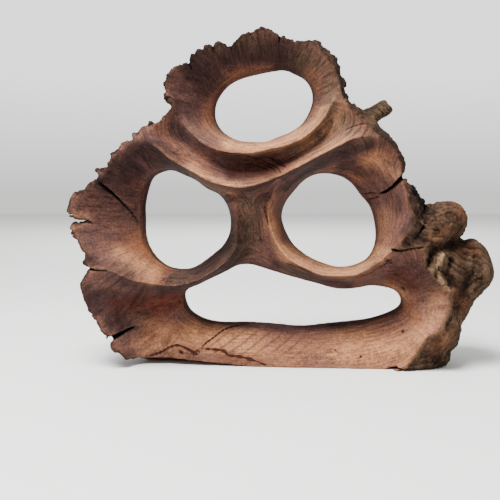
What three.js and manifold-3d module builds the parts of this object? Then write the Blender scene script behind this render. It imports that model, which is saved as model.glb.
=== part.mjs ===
// A porous aquarium log: one weathered root, about 300 mm long and 235 mm high, that
// stands on its underside. Four holes run through it from front to back, and the wood
// round each of them is scooped into a dish. The outer side is natural bark, with a
// burl of two lobes on the right and the stub of a small branch at the upper right.
//
// Lengths are millimetres. +X is right, +Y is back and +Z is up, and the origin is in
// the middle of the foot. The wood forks and joins again round the holes, so it is
// given as the limbs between those forks, with a saw cut between each two.

import * as THREE from 'three';
import { edgeTable, triTable } from 'three/addons/objects/MarchingCubes.js';
import { mergeVertices } from 'three/addons/utils/BufferGeometryUtils.js';
import Module from 'manifold-3d';

const wasm = await Module();
wasm.setup();

// Driving dimensions
const backDepth = { foot: 37, crown: 25, from: 20, over: 180 }; // how far the back stands behind the middle
const frontDepth = { left: 44, right: 34, from: 60, over: 40 }; // the uncut front, less at the burl
const widest = { left: -22, right: -8, from: -110, over: 120 }; // where the outline is, from back to front
const barkRound = 30; // how far in from the outline the bark side rounds over
const skin = 0.6; // how far the wood stands outside the points of its outlines
const holeDepth = 3; // the holes' thin edges lie just behind the middle plane
const holeEdge = { thick: 2.5, rounding: 1 };
const backFlare = { depth: 36, width: 9, rounding: 2 }; // the mouth of each hole at the back
const sawCut = { gap: 0.3, depth: 160 };
const triangleGoal = 8600;
const reliefStep = 1.25; // grid of the carved front
const meshStep = 2.5; // grid of the solid before it is simplified
const crestRounding = { passes: 14, ahead: 3 }; // crests are pinned ahead by what rounding takes off
const firstDepth = -25; // the carved front before it is stretched
const stretchPasses = 400;
const rimFall = { slope: 2.5, rightOf: 20, below: 28 }; // the front falls back steeply outside its rim
const steepest = 4; // of the carved front
const edgeRounding = 3; // of the edge between carved wood and bark
const barkSlope = 0.8; // how slowly bark thins towards the outline
const foldFade = 12; // how far ahead of the middle the folds of the bark are full
const liftedCorner = { height: 5, from: -20, over: 60, behind: 4, depth: 12 }; // under the left end

// Outlines, [x, z] as seen from the front
const holes = {
  top: [
    [-46.5, 183], [-43.6, 191], [-37, 199], [-28, 204], [-17, 207], [-7, 209], [3, 210], [11, 207],
    [18, 203], [22.6, 196], [23.5, 188], [21, 180], [16, 172], [8, 166], [-1, 162.4], [-11, 158.6],
    [-22, 158.6], [-32, 160.4], [-41, 166], [-46, 174],
  ],
  left: [
    [-97.5, 103], [-97.5, 113], [-95, 125], [-91, 134], [-84, 138], [-77, 139], [-69, 136],
    [-60, 132], [-52, 126], [-44, 122], [-38.4, 115], [-35.4, 105], [-36, 94], [-40.5, 85],
    [-47.4, 78.5], [-56.2, 71.7], [-64, 67.6], [-72, 67], [-81, 69], [-89, 75], [-95, 84],
    [-97.5, 94],
  ],
  right: [
    [1, 105], [3.4, 115], [9.5, 123.6], [17, 131.6], [25, 136], [34, 137], [44, 135], [52, 130],
    [58.7, 121.6], [65.6, 113], [69, 102], [70, 90], [68, 81], [63, 74], [53, 69.4], [42, 68.5],
    [31, 71.6], [20.4, 76.6], [10.5, 84.4], [4.4, 94],
  ],
  slot: [
    [-69, 46], [-67, 53], [-59, 56.6], [-49, 61.5], [-38, 66.5], [-30, 70.5], [-21, 71], [-10, 68],
    [3, 64], [17, 60], [28, 57], [38, 54], [48, 53], [58, 54], [66, 55.6], [77, 54.5], [85, 51.6],
    [89, 46], [88, 39.6], [79, 34.4], [66, 30.4], [52, 28.4], [34, 26.6], [16, 25], [-3, 26.6],
    [-22, 27.8], [-41, 27.8], [-54.4, 30.4], [-64.6, 36.4],
  ],
};
const leftEdge = [
  [-109, 5.5], [-112.5, 10], [-117.5, 14.5], [-119.5, 20.5], [-125.5, 26.5], [-131, 34],
  [-134, 42], [-136.5, 49], [-139.5, 58], [-137, 65], [-135, 70.5], [-138.5, 74], [-137.5, 79],
  [-139, 83], [-140.5, 87], [-142, 90.5], [-144, 95], [-145, 100], [-141.5, 102.5], [-134, 103.3],
  [-142, 104.6], [-146.5, 110], [-145.3, 117], [-142.5, 122.5], [-138, 125], [-133, 128.5],
  [-129.5, 131.5], [-125, 132.5], [-128, 135.5], [-126, 140], [-120.5, 141], [-119, 147],
  [-116.2, 150.3], [-110, 154.2], [-104.6, 158.8], [-99.5, 163.5], [-93, 169.5], [-85.5, 172.2],
  [-79.5, 177],
];
const crownEdge = [
  [-76, 182], [-79.5, 187], [-80.5, 194], [-78, 201.5], [-73, 207], [-67.5, 210], [-63.3, 212.5],
  [-61.5, 216.5], [-56, 220.5], [-50, 223], [-47, 222], [-43, 224], [-38, 224.3], [-35, 223.5],
  [-30, 229], [-23, 232.3], [-18, 234], [-12, 234.2], [-6, 232.2], [2, 228.8], [10, 226.4],
  [18, 226.7], [24.5, 226.5], [29.5, 222], [38, 213.7], [41.5, 205.7], [44.3, 196.5], [47, 186.5],
  [52, 182],
];
const rightEdge = [
  [58, 178], [66, 171], [73, 164], [79, 157], [84, 149], [86.5, 141], [86, 135], [89, 131],
  [93, 127.5], [95.5, 122.5], [99.5, 118], [102.5, 113], [106, 113], [111, 115], [118, 116],
  [123, 115], [127, 112], [129, 107], [129, 101], [128.5, 96], [128.5, 91], [131.5, 88], [137, 89],
  [142, 85.5], [147, 78], [150, 67], [148, 59], [141.5, 52], [136, 43.5], [132, 34], [129, 27],
  [126, 19], [122, 9], [118.5, 1],
];
const underside = [[110, -6], [100, -8], [60, -9], [0, -9], [-60, -8], [-92, -5], [-103, 4]];

// Carved front, [x, y, z]: the rim of the carving, then the ridges between the dishes
const carvedRim = [
  [-103, -14, 6], [-113, -22, 14], [-125, -24, 33], [-138, -26, 58], [-135, -27, 79],
  [-146, -28, 110], [-141, -27, 121], [-123, -26, 132], [-113, -26, 148], [-97, -26, 159],
  [-78, -26, 178], [-80, -25, 194], [-73, -24, 208], [-56, -23, 220], [-38, -22, 224],
  [-15, -22, 234], [2, -22, 228], [21, -24, 221], [27, -26, 214], [32, -27, 206], [36.5, -27, 197],
  [39, -28, 188], [45, -30, 177], [54, -31, 170], [64, -29, 163], [71, -27, 158], [77, -25, 152],
  [81, -24, 145], [83, -25, 137], [86, -27, 124], [86, -29, 114], [86, -30, 103], [81, -31, 95],
  [78, -31, 89], [80, -31, 85], [88, -32, 85.5], [94, -32, 82], [98, -32, 77], [100, -32, 71],
  [101.5, -32, 66], [106, -32, 60], [112, -31, 55], [113, -30, 50], [112, -30, 44], [110, -30, 38],
  [105.5, -29, 30], [98, -28, 25], [93, -28, 18], [88, -27, 11], [82, -26, 4], [70, -25, 0],
  [48, -24, -1], [13, -22, -1], [-22, -18, 0], [-57, -15, 1], [-93, -12, 2],
];
const ridges = [
  // round the lower side of the top hole
  [[-71, -20, 175], [-62, -24, 164], [-55, -28, 157], [-45, -31, 152], [-34, -33, 149],
    [-22, -34, 149], [-8, -34, 152], [5, -34, 155], [15, -33, 160], [24, -31, 168],
    [30, -29, 176], [34, -28, 184], [39, -26, 191]],
  // the long ridge across the middle, below the trough
  [[-89, -30, 156], [-82, -32, 151], [-74, -34, 144], [-61, -37, 137], [-48, -38, 130],
    [-36, -39, 127], [-26, -39, 126], [-14, -38, 129], [-2, -38, 133.5], [11, -37, 140],
    [25, -37, 147.5], [38, -36, 154], [46, -34, 158], [56, -32, 160], [66, -29, 159]],
  // its foot, where it stands out from the post between the holes
  [[-38, -27, 120], [-32, -25, 120.5], [-24, -24, 121.5], [-14, -25, 123.5], [-7, -27, 127]],
  // below and right of the left hole
  [[-130, -30, 71], [-121, -31, 71], [-112, -33, 68], [-103, -34, 64], [-93, -34, 62],
    [-83, -33, 60], [-72, -32, 59], [-61, -30, 61], [-52, -28, 65], [-42, -26, 72],
    [-35, -24, 79], [-31, -22, 88], [-31, -22, 100], [-32, -22, 111], [-35, -24, 119]],
  // left of and below the right hole
  [[-3, -30, 130], [-7, -25, 120], [-9, -23, 109], [-7, -24, 97], [-2, -26, 86], [6, -28, 77],
    [17, -30, 71], [27, -31, 67], [39, -32, 66], [50, -32, 67], [60, -32, 72], [69, -32, 79],
    [76, -32, 86]],
];
// Where the carving is scooped deeper, [x, z] along its bottom
const hollows = [
  { path: [[-74, 162], [-62, 153], [-50, 146], [-34, 142], [-18, 141.5], [0, 145],
      [14, 151], [26, 160], [35, 170], [40, 181]],
    pull: 0.2, reach: 8 },
  { path: [[-46, 149], [-34, 145], [-21, 144.5], [-7, 147], [6, 150], [17, 155.5], [28, 164]],
    pull: 0.65, reach: 2.4 },
  { path: [[66, 146], [73, 142]], pull: 0.1, reach: 12 },
  { path: [[-22, 112], [-20, 95], [-22, 80]], pull: 0.12, reach: 8 },
  { path: [[-100, 30], [-85, 24]], pull: 0.03, reach: 12 },
  { path: [[-60, 15], [0, 12], [60, 13], [85, 22]], pull: -0.075, reach: 12 },
];
const dishPull = 0.022; // how strongly every dish is hollowed, per mm

// Burl and branch, [x, y, z]: the lobes of the burl are balls, and a small dead branch
const lobes = [
  { at: [113, -8, 102], radii: [15.6, 27, 13.4] },
  { at: [130, -4, 69], radii: [19, 32, 19] },
  { at: [112, -6, 25], radii: [14.5, 27, 22] },
];
const branch = {
  from: [50, -10, 166], to: [74, -11, 181.5], thick: 8.8, tip: 4.8,
  brokenAt: [74.5, -11, 183], brokenFacing: [0.6, 0, 0.8],
};
const meet = 6; // how softly these flow into the body

// Folds (in) and ribs (out) of the bark on the front of the burl, [x, z] along each
const folds = [
  { path: [[127, 89], [120, 88], [114, 87], [105, 83], [100, 76]], rise: -4, reach: 4 },
  { path: [[134, 77], [130, 68], [126, 58], [122, 44]], rise: -3, reach: 4 },
  { path: [[101, 112], [97, 103], [93, 94], [86, 88]], rise: -3, reach: 4 },
  { path: [[109, 80], [105, 69], [108, 63], [114, 55]], rise: 3.5, reach: 4 },
  { path: [[140, 76], [139, 65], [133, 52]], rise: 2.5, reach: 5 },
  { path: [[104, 16], [113, 24], [122, 34]], rise: 2.5, reach: 5 },
];

// Evaluates a smooth curve through the points, about every `step` millimetres.
function traced(points, closed, step = 0.6) {
  const stations = points.map((p) => new THREE.Vector3(p[0], p.length > 2 ? p[1] : 0, p[p.length - 1]));
  const curve = new THREE.CatmullRomCurve3(stations, closed, 'catmullrom', 0.5);
  return curve.getPoints(Math.ceil(curve.getLength() / step));
}

// The plan grid that all the maps share, and the space it is carried through.
const plan = { x0: -165, x1: 165, z0: -15, z1: 250 };
const space = { y0: -52, y1: 52 };
const columns = Math.round((plan.x1 - plan.x0) / reliefStep) + 1;
const rows = Math.round((plan.z1 - plan.z0) / reliefStep) + 1;
const xOf = (i) => plan.x0 + i * reliefStep;
const zOf = (k) => plan.z0 + k * reliefStep;

// Signed distance to a closed outline, negative inside, at every node of the plan grid.
function distanceMap(points) {
  const map = new Float32Array(columns * rows);
  for (let k = 0; k < rows; k++) {
    for (let i = 0; i < columns; i++) {
      const x = xOf(i);
      const z = zOf(k);
      let nearest = Infinity;
      let inside = false;
      for (let n = 0, m = points.length - 1; n < points.length; m = n++) {
        const a = points[n];
        const b = points[m];
        nearest = Math.min(nearest, (a.x - x) ** 2 + (a.z - z) ** 2);
        if (a.z > z !== b.z > z && x < ((b.x - a.x) * (z - a.z)) / (b.z - a.z) + a.x) inside = !inside;
      }
      map[k * columns + i] = Math.sqrt(nearest) * (inside ? -1 : 1);
    }
  }
  return map;
}

// The carved front as a depth map: a skin stretched over the holes' edges, the ridges
// and the rim, and drawn back between them.
function carvedFront(holeMaps) {
  const size = columns * rows;
  const depth = new Float32Array(size).fill(firstDepth);
  const fixed = new Uint8Array(size);
  const pull = new Float32Array(size).fill(dishPull);
  const pin = (p, ahead = 0) => {
    const n = Math.round((p.z - plan.z0) / reliefStep) * columns + Math.round((p.x - plan.x0) / reliefStep);
    depth[n] = p.y - ahead;
    fixed[n] = 1;
  };
  traced(carvedRim, true).forEach((p) => pin(p));
  ridges.forEach((ridge) => traced(ridge, false).forEach((p) => pin(p, crestRounding.ahead)));
  for (const map of holeMaps) {
    for (let n = 0; n < size; n++) {
      if (map[n] <= 0) {
        depth[n] = holeDepth;
        fixed[n] = 1;
      }
    }
  }
  for (const { path, pull: strength, reach } of hollows) {
    const bottom = traced(path, false, 2);
    for (let n = 0; n < size; n++) {
      const x = xOf(n % columns);
      const z = zOf(Math.floor(n / columns));
      const away = Math.min(...bottom.map((p) => Math.hypot(p.x - x, p.z - z)));
      pull[n] += strength * Math.exp(-((away / reach) ** 2));
    }
  }
  const overshoot = 1.93;
  const meanRound = (n) => (depth[n - 1] + depth[n + 1] + depth[n - columns] + depth[n + columns]) / 4;
  const inner = [];
  for (let k = 1; k < rows - 1; k++) {
    for (let i = 1; i < columns - 1; i++) inner.push(k * columns + i);
  }
  for (let pass = 0; pass < stretchPasses; pass++) {
    for (const n of inner) {
      if (!fixed[n]) depth[n] += overshoot * (meanRound(n) + (pull[n] * reliefStep ** 2) / 4 - depth[n]);
    }
  }
  for (let pass = 0; pass < crestRounding.passes; pass++) {
    for (const n of inner) depth[n] = (depth[n] + meanRound(n)) / 2;
  }
  return depth;
}

// How far the folds and ribs move the bark out at each node of the plan grid.
function foldMap() {
  const map = new Float32Array(columns * rows);
  for (const { path, rise, reach } of folds) {
    const line = traced(path, false, 2);
    for (let n = 0; n < map.length; n++) {
      const x = xOf(n % columns);
      const z = zOf(Math.floor(n / columns));
      const away = Math.min(...line.map((p) => Math.hypot(p.x - x, p.z - z)));
      map[n] += rise * Math.exp(-((away / reach) ** 2));
    }
  }
  return map;
}

const smoothMax = (a, b, k) => {
  const h = Math.max(k - Math.abs(a - b), 0) / k;
  return Math.max(a, b) + (h * h * k) / 4;
};
const smoothMin = (a, b, k) => -smoothMax(-a, -b, k);
const clamp01 = (t) => Math.min(Math.max(t, 0), 1);
const mix = (a, b, t) => a + (b - a) * t;

// Slow swells and finer furrows of a bark surface, in millimetres.
function barkSwell(x, y, z) {
  const slow = Math.sin(x / 11 + 1.7 * Math.sin(z / 17)) * Math.sin(y / 9 + z / 14 + 2);
  const furrow = Math.sin((x + y) / 4.3 + 1.3 * Math.sin(z / 9)) * Math.sin(z / 7.5 + x / 15);
  return 1.1 * slow + 0.7 * furrow;
}

function ellipsoid(x, y, z, { at, radii }) {
  const reach = Math.hypot((x - at[0]) / radii[0], (y - at[1]) / radii[1], (z - at[2]) / radii[2]);
  return (reach - 1) * Math.min(...radii);
}

function taperedRod(x, y, z, { from, to, thick, tip }) {
  const run = to.map((v, n) => v - from[n]);
  const off = [x - from[0], y - from[1], z - from[2]];
  const lengthSquared = run.reduce((sum, v) => sum + v * v, 0);
  const t = clamp01(off.reduce((sum, v, n) => sum + v * run[n], 0) / lengthSquared);
  return Math.hypot(...off.map((v, n) => v - t * run[n])) - mix(thick, tip, t);
}

// The whole log as a field over space: negative inside the wood.
function logField() {
  const edge = distanceMap(traced([...leftEdge, ...crownEdge, ...rightEdge, ...underside], true));
  const outline = edge.map((distance) => distance - skin);
  const rim = distanceMap(traced(carvedRim, true));
  const holeMaps = Object.values(holes).map(
    (points) => distanceMap(traced(points, true)).map((distance) => distance + skin));
  const front = carvedFront(holeMaps);
  const barkFolds = foldMap();
  return (x, y, z, n) => {
    const inward = clamp01(-outline[n] / barkRound);
    const bulge = Math.sqrt(1 - (1 - inward) ** 2);
    const outer = mix(widest.left, widest.right, clamp01((x - widest.from) / widest.over));
    const back = mix(backDepth.foot, backDepth.crown, clamp01((z - backDepth.from) / backDepth.over));
    const backFace = y - mix(outer, back, bulge);
    const uncut = mix(frontDepth.left, frontDepth.right, clamp01((x - frontDepth.from) / frontDepth.over));
    const frontFace = mix(outer, -uncut, bulge) - y;
    let wood = Math.max(Math.max(backFace, frontFace) * barkSlope, outline[n]);
    for (const lobe of lobes) wood = smoothMin(wood, ellipsoid(x, y, z, lobe), meet);
    const fromBreak = [x, y, z].map((v, axis) => v - branch.brokenAt[axis]);
    const pastBreak = fromBreak.reduce((sum, v, axis) => sum + v * branch.brokenFacing[axis], 0);
    wood = smoothMin(wood, Math.max(taperedRod(x, y, z, branch), pastBreak), meet);
    wood += barkSwell(x, y, z) - barkFolds[n] * clamp01(-y / foldFade);
    const steps = [front[n + 1] - front[n - 1], front[n + columns] - front[n - columns]];
    const steepness = Math.hypot(1, ...steps.map((s) => s / (2 * reliefStep)));
    const falls = x > rimFall.rightOf || z < rimFall.below;
    const carving = front[n] - (falls ? rimFall.slope * Math.max(rim[n], 0) : 0) - y;
    wood = smoothMax(wood, carving / Math.min(steepness, steepest), edgeRounding);
    for (const hole of holeMaps) {
      const out = Math.max(hole[n], 0);
      const fade = Math.exp(-out / backFlare.width);
      const mouth = holeDepth + holeEdge.thick + backFlare.depth * (1 - fade);
      const slope = (backFlare.depth / backFlare.width) * fade;
      wood = smoothMax(wood, (y - mouth) / Math.hypot(1, slope), backFlare.rounding);
      wood = smoothMax(wood, -hole[n], holeEdge.rounding);
    }
    const { height, from, over, behind, depth } = liftedCorner;
    const lift = height * clamp01((from - x) / over) * clamp01((behind - y) / depth);
    return lift > 0 ? Math.max(wood, lift - z) : wood;
  };
}

// Marching cubes over the field, with shared vertices.
function polygonize(field) {
  const layers = Math.round((space.y1 - space.y0) / meshStep);
  const stride = Math.round(meshStep / reliefStep);
  const nx = Math.floor((columns - 3) / stride);
  const nz = Math.floor((rows - 3) / stride);
  const at = (i, j, k) => (k * (layers + 1) + j) * (nx + 1) + i;
  const values = new Float32Array((nx + 1) * (layers + 1) * (nz + 1));
  for (let k = 0; k <= nz; k++) {
    for (let i = 0; i <= nx; i++) {
      const n = (k * stride + 1) * columns + i * stride + 1;
      for (let j = 0; j <= layers; j++) {
        values[at(i, j, k)] = field(xOf(i * stride + 1), space.y0 + j * meshStep, zOf(k * stride + 1), n);
      }
    }
  }
  const corner = [[0, 0, 0], [1, 0, 0], [1, 1, 0], [0, 1, 0], [0, 0, 1], [1, 0, 1], [1, 1, 1], [0, 1, 1]];
  const edge = [
    [0, 1], [1, 2], [2, 3], [3, 0], [4, 5], [5, 6], [6, 7], [7, 4], [0, 4], [1, 5], [2, 6], [3, 7]];
  const positions = [];
  const triangles = [];
  const made = new Map();
  const vertexOn = (i, j, k, e) => {
    const [a, b] = edge[e].map((c) => corner[c]);
    const na = at(i + a[0], j + a[1], k + a[2]);
    const nb = at(i + b[0], j + b[1], k + b[2]);
    const key = Math.min(na, nb) * values.length + Math.max(na, nb);
    if (!made.has(key)) {
      const t = Math.min(Math.max(values[na] / (values[na] - values[nb]), 0.02), 0.98);
      made.set(key, positions.length / 3);
      positions.push(
        xOf(1) + meshStep * (i + mix(a[0], b[0], t)),
        space.y0 + meshStep * (j + mix(a[1], b[1], t)),
        zOf(1) + meshStep * (k + mix(a[2], b[2], t)),
      );
    }
    return made.get(key);
  };
  for (let k = 0; k < nz; k++) {
    for (let j = 0; j < layers; j++) {
      for (let i = 0; i < nx; i++) {
        let cube = 0;
        corner.forEach((c, n) => {
          if (values[at(i + c[0], j + c[1], k + c[2])] < 0) cube |= 1 << n;
        });
        if (edgeTable[cube] === 0) continue;
        for (let n = cube * 16; triTable[n] !== -1; n += 3) {
          triangles.push([0, 1, 2].map((s) => vertexOn(i, j, k, triTable[n + s])));
        }
      }
    }
  }
  return { positions, triangles };
}

// Simplifies a closed mesh: the edges that bend least are closed up first, each to the
// point that lies nearest the planes round it, until the goal is met.
function simplified({ positions, triangles }, goal) {
  const points = [];
  for (let v = 0; v < positions.length; v += 3) points.push(new THREE.Vector3().fromArray(positions, v));
  const around = points.map(() => new Set());
  triangles.forEach((triangle, n) => triangle.forEach((v) => around[v].add(n)));
  const planes = points.map(() => new Float64Array(10));
  const crossOf = (a, b, c) => b.clone().sub(a).cross(c.clone().sub(a));
  for (const triangle of triangles) {
    const [a, b, c] = triangle.map((v) => points[v]);
    const normal = crossOf(a, b, c);
    const area = normal.length() / 2;
    if (area === 0) continue;
    normal.normalize();
    const plane = [normal.x, normal.y, normal.z, -normal.dot(a)];
    let slot = 0;
    for (let r = 0; r < 4; r++) {
      for (let s = r; s < 4; s++) {
        for (const v of triangle) planes[v][slot] += plane[r] * plane[s] * area;
        slot++;
      }
    }
  }
  const bestPoint = (a, b) => {
    const q = planes[a].map((value, n) => value + planes[b][n]);
    const middle = points[a].clone().add(points[b]).multiplyScalar(0.5);
    const hold = 1e-3 * (q[0] + q[4] + q[7]) + 1e-9;
    const system = new THREE.Matrix3().set(
      q[0] + hold, q[1], q[2], q[1], q[4] + hold, q[5], q[2], q[5], q[7] + hold);
    const p = middle.clone().multiplyScalar(hold).sub(new THREE.Vector3(q[3], q[6], q[8]));
    p.applyMatrix3(system.invert());
    const cost = q[0] * p.x ** 2 + q[4] * p.y ** 2 + q[7] * p.z ** 2 + q[9]
      + 2 * (q[1] * p.x * p.y + q[2] * p.x * p.z + q[5] * p.y * p.z)
      + 2 * (q[3] * p.x + q[6] * p.y + q[8] * p.z) + hold * p.distanceToSquared(middle);
    return { p, cost };
  };
  const neighbours = (v) => {
    const found = new Set();
    for (const n of around[v]) triangles[n].forEach((w) => found.add(w));
    found.delete(v);
    return found;
  };
  const keepsFacing = (v, other, p) => {
    for (const n of around[v]) {
      if (triangles[n].includes(other)) continue;
      const before = triangles[n].map((w) => points[w]);
      const after = triangles[n].map((w) => (w === v ? p : points[w]));
      const was = crossOf(...before);
      const is = crossOf(...after);
      const longest = Math.max(...after.map((q, m) => q.distanceToSquared(after[(m + 1) % 3])));
      if (is.length() < 0.03 * longest || was.dot(is) < 0.3 * was.length() * is.length()) return false;
    }
    return true;
  };
  let left = triangles.length;
  while (left > goal) {
    const edges = [];
    triangles.forEach((triangle) => {
      if (!triangle) return;
      triangle.forEach((a, m) => {
        const b = triangle[(m + 1) % 3];
        if (a < b) edges.push({ a, b, ...bestPoint(a, b) });
      });
    });
    edges.sort((e, f) => e.cost - f.cost);
    const touched = new Set();
    const before = left;
    for (const { a, b, p } of edges.slice(0, Math.ceil(edges.length / 5))) {
      if (left <= goal) break;
      if (touched.has(a) || touched.has(b)) continue;
      const ringA = neighbours(a);
      const ringB = neighbours(b);
      const shared = [...ringA].filter((v) => ringB.has(v));
      if (shared.length !== 2 || !keepsFacing(a, b, p) || !keepsFacing(b, a, p)) continue;
      for (const n of [...around[b]]) {
        if (triangles[n].includes(a)) {
          triangles[n].forEach((v) => around[v].delete(n));
          triangles[n] = null;
          left--;
        } else {
          triangles[n] = triangles[n].map((v) => (v === b ? a : v));
          around[a].add(n);
        }
      }
      around[b].clear();
      points[a] = p;
      planes[b].forEach((value, n) => { planes[a][n] += value; });
      [a, b, ...ringA, ...ringB].forEach((v) => touched.add(v));
    }
    if (left === before) break;
  }
  const used = new Map();
  const kept = triangles.filter(Boolean);
  kept.flat().forEach((v) => { if (!used.has(v)) used.set(v, used.size); });
  return {
    positions: [...used.keys()].flatMap((v) => points[v].toArray()),
    triangles: kept.map((triangle) => triangle.map((v) => used.get(v))),
  };
}

function toSolid(positions, indices) {
  return new wasm.Manifold(new wasm.Mesh({
    numProp: 3,
    vertProperties: Float32Array.from(positions),
    triVerts: Uint32Array.from(indices),
  }));
}

// A block as a solid, placed by a matrix.
function block(size, place) {
  const geometry = new THREE.BoxGeometry(...size).applyMatrix4(place);
  geometry.deleteAttribute('normal');
  geometry.deleteAttribute('uv');
  const merged = mergeVertices(geometry);
  return toSolid(merged.attributes.position.array, merged.index.array);
}

// The saw cuts at the forks, from [x, z] to [x, z], square to the front
const forkCuts = [
  { from: [-80, 130], to: [-88, 184] },
  { from: [44, 120], to: [88, 170] },
  { from: [-44, 116], to: [10, 116] },
  { from: [-74, 74], to: [-66, 48] },
  { from: [58, 86], to: [82, 46] },
  { from: [-145, 46], to: [-60, 46] },
  { from: [80, 46], to: [165, 46] },
  { from: [58, 192], to: [72, 167] },
];
const limbs = [
  { name: 'crown_limb', inside: [-20, 0, 220], colour: 0x6f4a3c },
  { name: 'left_limb', inside: [-118, 0, 100], colour: 0x7a5546 },
  { name: 'right_limb', inside: [105, 0, 80], colour: 0x6a5745 },
  { name: 'centre_limb', inside: [-20, 0, 95], colour: 0x7a5c48 },
  { name: 'base_limb', inside: [0, 0, 12], colour: 0x8f6652 },
  { name: 'branch_stub', inside: [70, -11, 180], colour: 0x5f4b3b },
];

function buildLimbs() {
  const rough = polygonize(logField());
  const light = simplified(rough, triangleGoal);
  let log = toSolid(light.positions, light.triangles.flat());
  if (log.volume() < 0) log = toSolid(light.positions, light.triangles.map(([a, b, c]) => [a, c, b]).flat());
  const whole = log.decompose().sort((a, b) => b.volume() - a.volume())[0].trimByPlane([0, 0, 1], 0);
  let sawn = whole;
  for (const { from, to } of forkCuts) {
    const run = new THREE.Vector2(to[0] - from[0], to[1] - from[1]);
    const place = new THREE.Matrix4().makeRotationY(-run.angle());
    place.setPosition((from[0] + to[0]) / 2, 0, (from[1] + to[1]) / 2);
    sawn = sawn.subtract(block([run.length(), sawCut.depth, sawCut.gap], place));
  }
  return sawn.decompose();
}

const group = new THREE.Group();
group.name = 'aquarium_log';
const pieces = buildLimbs();
for (const { name, inside, colour } of limbs) {
  const probe = block([1, 1, 1], new THREE.Matrix4().setPosition(...inside));
  const piece = pieces.find((candidate) => candidate.intersect(probe).volume() > 0);
  const { vertProperties, triVerts } = piece.getMesh();
  const geometry = new THREE.BufferGeometry();
  geometry.setAttribute('position', new THREE.BufferAttribute(vertProperties, 3));
  geometry.setIndex(new THREE.BufferAttribute(triVerts, 1));
  const material = new THREE.MeshStandardMaterial({ color: colour, roughness: 0.85, metalness: 0 });
  const mesh = new THREE.Mesh(geometry, material);
  mesh.name = name;
  group.add(mesh);
}

export default group;
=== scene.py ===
# Porous aquarium log: one weathered root with four holes through it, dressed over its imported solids.
# The wood is shaped in millimetres as a solid field, turned into a fine skin, then parted at the
# same forks as the solids.

import math
from functools import partial
import bpy
import bmesh
import numpy as np
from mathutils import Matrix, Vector, kdtree, noise


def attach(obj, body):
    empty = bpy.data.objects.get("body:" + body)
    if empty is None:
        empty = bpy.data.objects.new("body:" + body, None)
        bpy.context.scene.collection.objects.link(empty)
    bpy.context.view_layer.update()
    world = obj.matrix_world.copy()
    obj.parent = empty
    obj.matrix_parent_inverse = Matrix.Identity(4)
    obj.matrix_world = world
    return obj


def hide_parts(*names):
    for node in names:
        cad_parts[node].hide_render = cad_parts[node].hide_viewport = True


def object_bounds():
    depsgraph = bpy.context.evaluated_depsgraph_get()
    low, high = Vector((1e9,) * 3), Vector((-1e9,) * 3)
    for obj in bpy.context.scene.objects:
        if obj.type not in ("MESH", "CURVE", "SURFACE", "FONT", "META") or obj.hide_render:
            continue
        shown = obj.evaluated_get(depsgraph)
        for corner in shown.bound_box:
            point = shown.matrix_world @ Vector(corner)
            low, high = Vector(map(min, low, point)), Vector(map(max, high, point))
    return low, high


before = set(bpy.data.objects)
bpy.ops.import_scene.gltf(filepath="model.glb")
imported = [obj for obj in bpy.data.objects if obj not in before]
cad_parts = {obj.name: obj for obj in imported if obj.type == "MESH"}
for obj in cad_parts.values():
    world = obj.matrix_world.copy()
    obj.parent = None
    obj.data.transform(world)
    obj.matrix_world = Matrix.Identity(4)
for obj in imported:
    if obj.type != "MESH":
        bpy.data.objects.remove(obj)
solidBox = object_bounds()
print("frame loaded:", ", ".join(sorted(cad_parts)))

mm = 0.001

# Outlines [x, z] and ridges [x, y, z], as in the solids
topHole = [
    (-46.5, 183), (-43.6, 191), (-37, 199), (-28, 204), (-17, 207), (-7, 209), (3, 210), (11, 207),
    (18, 203), (22.6, 196), (23.5, 188), (21, 180), (16, 172), (8, 166), (-1, 162.4), (-11, 158.6),
    (-22, 158.6), (-32, 160.4), (-41, 166), (-46, 174)]
leftHole = [
    (-97.5, 103), (-97.5, 113), (-95, 125), (-91, 134), (-84, 138), (-77, 139), (-69, 136), (-60, 132),
    (-52, 126), (-44, 122), (-38.4, 115), (-35.4, 105), (-36, 94), (-40.5, 85), (-47.4, 78.5),
    (-56.2, 71.7), (-64, 67.6), (-72, 67), (-81, 69), (-89, 75), (-95, 84), (-97.5, 94)]
rightHole = [
    (1, 105), (3.4, 115), (9.5, 123.6), (17, 131.6), (25, 136), (34, 137), (44, 135), (52, 130),
    (58.7, 121.6), (65.6, 113), (69, 102), (70, 90), (68, 81), (63, 74), (53, 69.4), (42, 68.5), (31, 71.6),
    (20.4, 76.6), (10.5, 84.4), (4.4, 94)]
lowSlot = [
    (-69, 46), (-67, 53), (-59, 56.6), (-49, 61.5), (-38, 66.5), (-30, 70.5), (-21, 71), (-10, 68), (3, 64),
    (17, 60), (28, 57), (38, 54), (48, 53), (58, 54), (66, 55.6), (77, 54.5), (85, 51.6), (89, 46),
    (88, 39.6), (79, 34.4), (66, 30.4), (52, 28.4), (34, 26.6), (16, 25), (-3, 26.6), (-22, 27.8),
    (-41, 27.8), (-54.4, 30.4), (-64.6, 36.4)]
holes = (topHole, leftHole, rightHole, lowSlot)
leftEdge = [
    (-109, 5.5), (-112.5, 10), (-117.5, 14.5), (-119.5, 20.5), (-125.5, 26.5), (-131, 34), (-134, 42),
    (-136.5, 49), (-139.5, 58), (-137, 65), (-135, 70.5), (-138.5, 74), (-137.5, 79), (-139, 83),
    (-140.5, 87), (-142, 90.5), (-144, 95), (-145, 100), (-141.5, 102.5), (-134, 103.3), (-142, 104.6),
    (-146.5, 110), (-145.3, 117), (-142.5, 122.5), (-138, 125), (-133, 128.5), (-129.5, 131.5),
    (-125, 132.5), (-128, 135.5), (-126, 140), (-120.5, 141), (-119, 147), (-116.2, 150.3), (-110, 154.2),
    (-104.6, 158.8), (-99.5, 163.5), (-93, 169.5), (-85.5, 172.2), (-79.5, 177)]
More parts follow.
